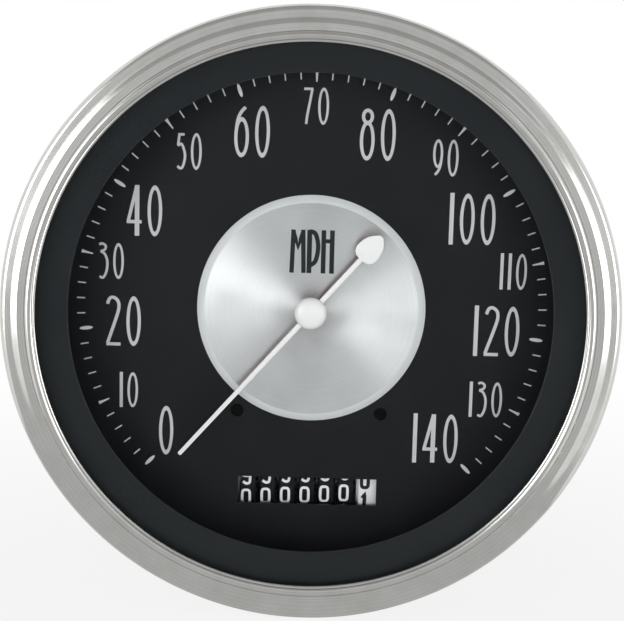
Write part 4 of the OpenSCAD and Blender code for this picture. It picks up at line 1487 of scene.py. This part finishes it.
@dataclass
class Case:
    """The drawn can with its screws, lamp sockets and threaded drive neck.

    The points of screw_crown and socket_end run inwards from the outer radius and forwards from the end.
    """
    body_r: float = 57.5
    spigot_r: float = 58.5
    spigot_end: float = -10.0
    step: float = 1.0
    rim_r: float = 59.5
    flange_r: float = 60.3
    flange: float = 1.0
    corner_r: float = 3.0
    back_rim: float = 9.0
    wall: float = 1.0
    thread: ThreadSize = ThreadSize(7.94, 1.41, 0.42)
    thread_start: float = 0.9
    thread_stop: float = 1.3
    neck_r: float = 8.94
    neck_play: float = 0.2
    neck_foot: float = 3.0
    neck_corner: float = 0.4
    neck_collar: float = 4.0
    neck_relief: float = 0.3
    neck_point: float = 0.6
    neck_segments: int = 96
    ferrule_r: float = 5.0
    ferrule_deep: float = 7.0
    ferrule_edge: float = 0.3
    bush_r: float = 4.0
    screw_ring: float = 26.0
    screw_angles: tuple[float, ...] = (30, 150, 270)
    screw_hole_r: float = 1.6
    screw_shank: float = 1.5
    screw_head_r: float = 2.8
    screw_head: float = 1.6
    screw_crown: tuple[Point, ...] = ((0.0, 0.5), (0.15, 0.25), (0.6, 0.0))
    screw_slot: Point = (4.0, 0.35)
    screw_slot_deep: float = 0.7
    slot_turn: float = 1.7
    lamp_x: float = 23.85
    lamp_y: float = 38.16
    lamp_r: float = 6.5
    lamp_flange_r: float = 8.0
    lamp_flange: float = 1.2
    lamp_roll: float = 0.5
    lamp_floor: float = 3.0
    lamp_segments: int = 72
    bulb_r: float = 4.0
    socket_end: tuple[Point, ...] = ((0.0, 2.6), (0.3, 2.3), (0.3, 1.9), (0.0, 1.6), (0.0, 0.5), (0.5, 0.0))
    contact: tuple[Point, ...] = ((2.2, 0.0), (2.0, 0.35), (0.0, 0.35))

    def screw_spots(self) -> list[Point]:
        """The middles of the three screws in the back."""
        return [arc(0, 0, self.screw_ring, angle, angle, steps=1)[0] for angle in self.screw_angles]

    def can(self) -> Mesh:
        """The can with its stepped spigot, its flange and the holes in its back.

        Returns:
            Its mesh.
        """
        can = Span.of("case_can")
        back, front = can.back, can.front
        corner = (self.body_r - self.corner_r, back + self.corner_r)
        turn, flange = self.spigot_end, front - self.flange
        outside = [(0, back + self.wall), (0, back), (self.body_r - self.back_rim, back),
                   *arc(*corner, self.corner_r, -90, 0, steps=14), (self.body_r, turn - self.step),
                   (self.spigot_r, turn), (self.spigot_r, 0), (self.rim_r, 0), (self.rim_r, flange),
                   (self.flange_r, flange), (self.flange_r, front)]
        bore, wall = self.spigot_r - self.wall, self.body_r - self.wall
        inside = [(bore, front), (bore, turn), (wall, turn - self.step),
                  *arc(*corner, self.corner_r - self.wall, 0, -90, steps=14)]
        deep = (back - CUT_PAST, back + self.wall + CUT_PAST)
        holes = Shape().prism(circle(0, 0, self.neck_r + self.neck_play), *deep)
        for side in SIDES:
            holes.prism(circle(side * Clamp.stud_x, 0, Clamp.thread.radius), *deep)
            holes.prism(circle(side * self.lamp_x, self.lamp_y, self.lamp_r), *deep)
        for spot in self.screw_spots():
            holes.prism(circle(*spot, self.screw_hole_r), *deep)
        shell = Shape().lathe(outside + inside)
        return combine(shell.mesh("can_shell"), holes.mesh("holes"), Joining.CUT)

    def neck(self) -> Mesh:
        """The drive neck: a collar, a threaded end and the bore for the cable's ferrule.

        Returns:
            Its mesh.
        """
        reach = Span.of("drive_neck")
        collar, end = Span.of("case_can").back - self.neck_collar, reach.back
        core, foot, soft = self.thread.core, reach.front - self.neck_foot, self.neck_corner
        outside = [(self.bush_r, reach.front), (reach.right, reach.front), (reach.right, foot),
                   (self.neck_r, foot), (self.neck_r, collar + soft), (self.neck_r - soft, collar),
                   (core, collar - self.neck_relief), (core, end + self.neck_point),
                   (core - self.neck_point, end)]
        floor = end + self.ferrule_deep
        bore = [(self.ferrule_r + self.ferrule_edge, end), (self.ferrule_r, end + self.ferrule_edge),
                (self.ferrule_r, floor), (self.bush_r, floor)]
        low = end + self.thread_start
        length = collar - low - self.thread_stop
        return Thread().wind("neck", outside + bore, self.neck_segments, low, length, self.thread)

    def screws(self) -> Mesh:
        """Three slotted cheese-head screws in the case back, each slot at an angle of its own.

        Returns:
            Their mesh.
        """
        front, back = Span.of("frame_screws").front, Span.of("case_can").back
        top, r = back - self.screw_head, self.screw_head_r
        crown = [(r - inset, top + rise) for inset, rise in self.screw_crown]
        section = [(0, front), (self.screw_shank, front), (self.screw_shank, back), (r, back), *crown,
                   (0, top)]
        turns = [math.radians(angle) * self.slot_turn for angle in self.screw_angles]
        return slotted_screws(section, self.screw_spots(), turns, self.screw_slot,
                              top - CUT_PAST, top + self.screw_slot_deep)

    def lamps(self) -> Shape:
        """Two push-in lamp sockets with a rolled flange and a contact at the end.

        Returns:
            Their shape.
        """
        reach, back = Span.of("lamp_sockets"), Span.of("case_can").back
        r, end, bulb, floor = self.lamp_r, reach.back, self.bulb_r, back + self.lamp_floor
        wide, under, roll = self.lamp_flange_r, back - self.lamp_flange, self.lamp_roll
        section = [(0, floor), (bulb, floor), (bulb, reach.front), (r, reach.front), (r, back),
                   (wide, back), *arc(wide - roll, under + roll, roll, 0, -90, steps=6), (r, under),
                   *((r - inset, end + rise) for inset, rise in self.socket_end),
                   *((radius, end + rise) for radius, rise in self.contact)]
        shape = Shape()
        for side in SIDES:
            place = Matrix.Translation((side * self.lamp_x, self.lamp_y, 0))
            shape.lathe(section, place, self.lamp_segments)
        return shape

    def build(self) -> None:
        """Makes the can, the neck, the screws and the lamp sockets."""
        make_piece("can_shell", self.can(), CASE_STEEL, ["case_can"])
        make_piece("cable_neck", self.neck(), PLATED, ["drive_neck"])
        make_piece("back_screws", self.screws(), PLATED, ["frame_screws"])
        make_piece("lamp_holders", self.lamps(), PLATED, ["lamp_sockets"])


@dataclass
class Clamp:
    """The studs on the case, and the bracket that clamps the instrument to its panel.

    The points of nut_crown run inwards from the nut's body and downwards from its top.
    """
    body: str = "clamp_body"
    stud_x: float = 41.0
    thread: ThreadSize = ThreadSize(2.4, 0.8, 0.26)
    thread_start: float = 1.0
    thread_stop: float = 0.4
    stud_collar: float = 1.5
    stud_corner: float = 0.3
    stud_point: float = 0.9
    stud_segments: int = 40
    play: float = 0.3
    strap_t: float = 2.0
    strap_edge: float = 0.25
    leg_t: float = 1.6
    taper: float = 3.0
    bend_r: float = 4.0
    width: float = 14.0
    ring_r: float = 19.94
    hole_r: float = 12.94
    ring_steps: int = 120
    washer_r: float = 5.5
    washer_edge: float = 0.15
    turned_segments: int = 72
    nut_r: float = 6.0
    nut_play: float = 0.05
    nut_face_r: float = 4.2
    nut_edge: float = 0.5
    nut_crown: tuple[Point, ...] = ((0.0, 0.9), (0.6, 0.3))
    nut_top_r: float = 4.4
    nut_mouth: float = 0.4
    ribs: int = 30
    rib: float = 0.35
    rib_root: float = 0.2
    rib_halves: Point = (0.5, 0.12)
    rib_ends: Point = (0.7, 1.2)

    def studs(self) -> Mesh:
        """Two threaded studs with pointed ends.

        Returns:
            Their mesh.
        """
        reach = Span.of("mounting_studs")
        start = Span.of("case_can").back - self.stud_collar
        core, radius, end = self.thread.core, self.thread.radius, reach.back
        section = [(0, reach.front), (radius, reach.front), (radius, start + self.stud_corner),
                   (core, start), (core, end + self.stud_point), (core - self.stud_point, end), (0, end)]
        low = end + self.thread_start
        length = start - low - self.thread_stop
        studs = []
        for side in SIDES:
            stud = Thread().wind("stud", section, self.stud_segments, low, length, self.thread)
            stud.transform(Matrix.Translation((side * self.stud_x, 0, 0)))
            studs.append(stud)
        return merge(studs)

    def bracket(self) -> Mesh:
        """The bent strap with its ring, holes and two legs.

        Returns:
            Its mesh.
        """
        reach = Span.of("mounting_bracket")
        half, rear, feet = reach.right, reach.back, reach.front
        strap, bend = rear + self.strap_t, self.bend_r
        turn = (half - bend, rear + bend)
        right = [*arc(*turn, bend, -90, 0, steps=10), (half, feet), (half - self.leg_t, feet),
                 *arc(*turn, bend - self.leg_t, 0, -90, steps=10)[:-1], (half - bend - self.taper, strap)]
        loop = right + [(-x, z) for x, z in reversed(right)]
        bar = Shape().prism(loop, -self.width / 2, self.width / 2, UPRIGHT)
        ring = Shape().prism(circle(0, 0, self.ring_r, self.ring_steps), rear, strap)
        deep = (rear - CUT_PAST, strap + CUT_PAST)
        holes = Shape().prism(circle(0, 0, self.hole_r, self.ring_steps), *deep)
        for side in SIDES:
            holes.prism(circle(side * self.stud_x, 0, self.thread.radius + self.play), *deep)
        whole = combine(bar.mesh("bracket"), ring.mesh("ring"), Joining.ADD)
        return combine(whole, holes.mesh("holes"), Joining.CUT)

    def washers(self) -> Shape:
        """Two plain washers with broken edges.

        Returns:
            Their shape.
        """
        reach, bore = Span.of("stud_washers"), self.thread.radius + self.play
        section = plate(bore, self.washer_r, reach.back, reach.front, self.washer_edge)
        shape = Shape()
        for side in SIDES:
            shape.lathe(section, Matrix.Translation((side * self.stud_x, 0, 0)), self.turned_segments)
        return shape

    def nuts(self) -> Mesh:
        """Two knurled thumb nuts.

        Returns:
            Their mesh.
        """
        reach = Span.of("thumb_nuts")
        tall, body = reach.front - reach.back, self.nut_r - self.rib
        bore = self.thread.radius + self.nut_play
        crown = [(body - inset, tall - drop) for inset, drop in self.nut_crown]
        section = [(bore, 0), (self.nut_face_r, 0), (body - self.nut_edge, 0), (body, self.nut_edge),
                   *crown, (self.nut_top_r, tall), (bore + self.nut_mouth, tall),
                   (bore, tall - self.nut_mouth)]
        root, (foot, tip), (low, high) = body - self.rib_root, self.rib_halves, self.rib_ends
        tooth = Shape().prism([(root, -foot), (self.nut_r, -tip), (self.nut_r, tip), (root, foot)],
                              low, tall - high)
        nuts = []
        for side in SIDES:
            core = Shape().lathe(section, segments=self.turned_segments)
            knurl = RoundRow().repeat("knurl", tooth, BRASS, self.ribs, 0.0, 2 * math.pi / self.ribs)
            nut = merge([core.mesh("nut"), knurl])
            spot = Matrix.Translation((side * self.stud_x, 0, reach.front))
            nut.transform(spot @ Matrix.Rotation(math.pi, 4, "X"))
            nuts.append(nut)
        return merge(nuts)

    def build(self) -> None:
        """Makes the studs, the bracket, the washers and the nuts."""
        make_piece("threaded_studs", self.studs(), PLATED, ["mounting_studs"])
        make_piece("clamp_strap", self.bracket(), PLATED, ["mounting_bracket"], self.body, self.strap_edge)
        make_piece("washers", self.washers(), PLATED, ["stud_washers"], self.body)
        make_piece("knurled_nuts", self.nuts(), BRASS, ["thumb_nuts"], self.body)


class Movement:
    """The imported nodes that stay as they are, each in the finish of its slot."""

    def build(self) -> None:
        """Puts the finishes on."""
        for part in frame["record"]["subparts"]:
            finish = NODE_FINISHES[part["material_slot"]]
            for slot in frame["nodes"][part["node"]].material_slots:
                slot.material = finish.material()
            log.info("%s: %s", part["node"], finish.name)


# Studio

@dataclass(frozen=True)
class Panel:
    """A lamp or a sheet of the studio, in metres, a rectangle where it has no outline of its own."""
    name: str
    place: tuple[float, float, float]
    aim: tuple[float, float, float]
    wide: float
    tall: float
    level: float = 0.0
    soft: float = 0.0
    outline: tuple[Point, ...] = ()

    def matrix(self) -> Matrix:
        """Stands at its place and faces its aim.

        Returns:
            The panel's place and turn.
        """
        spot = Vector(self.place)
        turn = (Vector(self.aim) - spot).to_track_quat("-Z", "Y")
        return Matrix.Translation(spot) @ turn.to_matrix().to_4x4()

    def sheet(self) -> bpy.types.Object:
        """A flat sheet on the stage, without a material.

        Returns:
            The sheet.
        """
        corners = self.outline or rectangle(self.wide / 2, self.tall / 2)
        mesh = bpy.data.meshes.new(self.name)
        mesh.from_pydata([(x, y, 0) for x, y in corners], [], [tuple(range(len(corners)))])
        sheet = carry(self.name.replace(" ", "_"), mesh)
        sheet.matrix_world = self.matrix()
        return sheet

    def glow(self, graph: Graph) -> float | Socket:
        """How brightly a card shines, paler towards its edges where it is soft.

        Args:
            graph: the card's node tree.

        Returns:
            A number or a linked socket.
        """
        level: float | Socket = self.level
        if self.soft:
            across, up, _ = graph.apart(graph.place())
            for way, half in ((across, self.wide / 2), (up, self.tall / 2)):
                away = graph.math("ABSOLUTE", way)
                fade = graph.scale(away, 1.0, 0.0, half * (1 - self.soft), half)
                level = graph.math("MULTIPLY", fade, level)
        return level


@dataclass
class Studio:
    """Camera, world, floor, one soft lamp, and cards that only show in what shines."""
    distance: float = 302.65
    aim_depth: float = -7.017
    elevation: float = 9.39
    azimuth: float = 0.777
    roll: float = 1.437
    focal: float = 1464.376
    middle: Point = (310.314, 311.624)
    sensor: float = 36.0
    nearest: float = 0.01
    ambient: float = 0.5
    fill: Panel = Panel("fill lamp", (0, -0.75, 0.0), (0, 0, 0), 1.3, 0.3, 3.9)
    cards: tuple[Panel, ...] = (
        Panel("left card", (-0.230, -0.225, 0.040), (0, 0, 0), 0.20, 0.24, 8.4, 0.7),
        Panel("right card", (0.230, -0.222, -0.005), (0, 0, 0), 0.19, 0.23, 5.6, 0.7),
        Panel("top card", (0, -0.30, 0.45), (0, 0, 0), 0.9, 0.7, 0.42),
        Panel("front card", (0, -0.95, 0.12), (0, 0, 0), 0.7, 0.8, 0.64),
        Panel("low card", (0, 0, -0.0618), (0, 0, -1), 1.0, 1.0, 0.56, outline=(
            (-0.12, -0.003), (-0.14, -0.13), (-0.20, -0.33), (-0.34, -0.937),
            (0.34, -0.937), (0.20, -0.33), (0.088, -0.13), (0.076, -0.003))),
    )
    floor_size: float = 8.0
    floor_grain: float = 30.0
    floor_rough: float = 0.8
    floor_tones: Point = (0.88, 0.92)
    floor_white: Point = (0.82, 1.0)
    floor_reach: Point = (0.07, 0.26)

    def camera(self) -> None:
        """Stands the camera where the photograph was taken."""
        e, a, r = (math.radians(v) for v in (self.elevation, self.azimuth, self.roll))
        right = Vector((math.cos(a), 0, -math.sin(a)))
        back = Vector((math.sin(a) * math.cos(e), math.sin(e), math.cos(a) * math.cos(e)))
        up = back.cross(right)
        across = right * math.cos(r) + up * math.sin(r)
        over = up * math.cos(r) - right * math.sin(r)
        spot = Vector((0, 0, self.aim_depth)) + back * self.distance
        data = bpy.data.cameras.new("camera")
        data.sensor_fit = "HORIZONTAL"
        data.sensor_width = self.sensor
        data.lens = self.focal / IMAGE[0] * self.sensor
        data.shift_x = ((IMAGE[0] - 1) / 2 - self.middle[0]) / IMAGE[0]
        data.shift_y = (self.middle[1] - (IMAGE[1] - 1) / 2) / IMAGE[0]
        data.clip_start = self.nearest
        camera = carry("camera", data)
        axes = Matrix((across, over, back)).transposed().to_4x4()
        camera.matrix_world = Matrix.Translation(TO_WORLD @ spot) @ UPRIGHT @ axes
        bpy.context.scene.camera = camera

    @staticmethod
    def seen(graph: Graph) -> Socket:
        """Tells the rays that show the background itself, in view, in metal or through glass.

        Args:
            graph: the node tree.

        Returns:
            1 for such a ray, 0 for any other.
        """
        path = graph.add("ShaderNodeLightPath").outputs
        either = graph.math("MAXIMUM", path["Is Camera Ray"], path["Is Glossy Ray"])
        return graph.math("MAXIMUM", either, path["Is Transmission Ray"])

    def world(self) -> None:
        """White to look at, and a plain level of light."""
        world = bpy.data.worlds.new("studio")
        world.use_nodes = True
        graph = Graph(world.node_tree)
        level = graph.scale(self.seen(graph), self.ambient, 1.0)
        shader = graph.add("ShaderNodeBackground", {"Color": (1, 1, 1), "Strength": level}).outputs[0]
        graph.add("ShaderNodeOutputWorld", {"Surface": shader})
        bpy.context.scene.world = world

    def floor(self) -> None:
        """A pale floor under the rim, which keeps the shadow."""
        low = CAD_BOX[0].z
        floor = Panel("floor", (0, 0, low), (0, 0, low - 1), self.floor_size, self.floor_size).sheet()
        material, graph = new_material("pale floor")
        grain = graph.scale(graph.noise(graph.place(), self.floor_grain), *self.floor_tones)
        tone = graph.add("ShaderNodeCombineColor", {0: grain, 1: grain, 2: grain}).outputs[0]
        matt = graph.principled({"Base Color": tone, "Roughness": self.floor_rough})
        white = graph.add("ShaderNodeEmission", {"Color": (1, 1, 1), "Strength": 1.0}).outputs[0]
        paler = graph.scale(graph.length(graph.place()), *self.floor_white, *self.floor_reach)
        graph.output(graph.blend(graph.math("MULTIPLY", self.seen(graph), paler), matt, white))
        floor.data.materials.append(material)

    def card(self, panel: Panel) -> None:
        """Hangs a bright card that only metal and glass show.

        Args:
            panel: its place, size and level.
        """
        card = panel.sheet()
        card.visible_camera = card.visible_diffuse = card.visible_shadow = False
        material, graph = new_material(panel.name)
        inputs = {"Color": (1, 1, 1), "Strength": panel.glow(graph)}
        graph.output(graph.add("ShaderNodeEmission", inputs).outputs[0])
        card.data.materials.append(material)

    def lamp(self, panel: Panel) -> None:
        """Hangs a soft lamp that lights without showing in metal or glass.

        Args:
            panel: its place, size and level.
        """
        light = bpy.data.lights.new(panel.name, "AREA")
        light.shape = "RECTANGLE"
        light.size, light.size_y = panel.wide, panel.tall
        light.energy = panel.level * math.pi * panel.wide * panel.tall
        lamp = carry(panel.name, light)
        lamp.matrix_world = panel.matrix()
        lamp.visible_glossy = lamp.visible_transmission = False

    def build(self) -> None:
        """Sets the whole studio up."""
        self.camera()
        self.world()
        self.floor()
        for panel in self.cards:
            self.card(panel)
        self.lamp(self.fill)
        bpy.context.scene.view_settings.view_transform = "Standard"


def main() -> None:
    """Builds the studio and every sub-assembly."""
    logging.basicConfig(level=logging.INFO, format="%(name)s: %(message)s")
    Studio().build()
    for assembly in (Movement(), FrontRing(), Dial(), Pointer(), Odometer(), Case(), Clamp()):
        assembly.build()


if __name__ == "__main__":
    main()
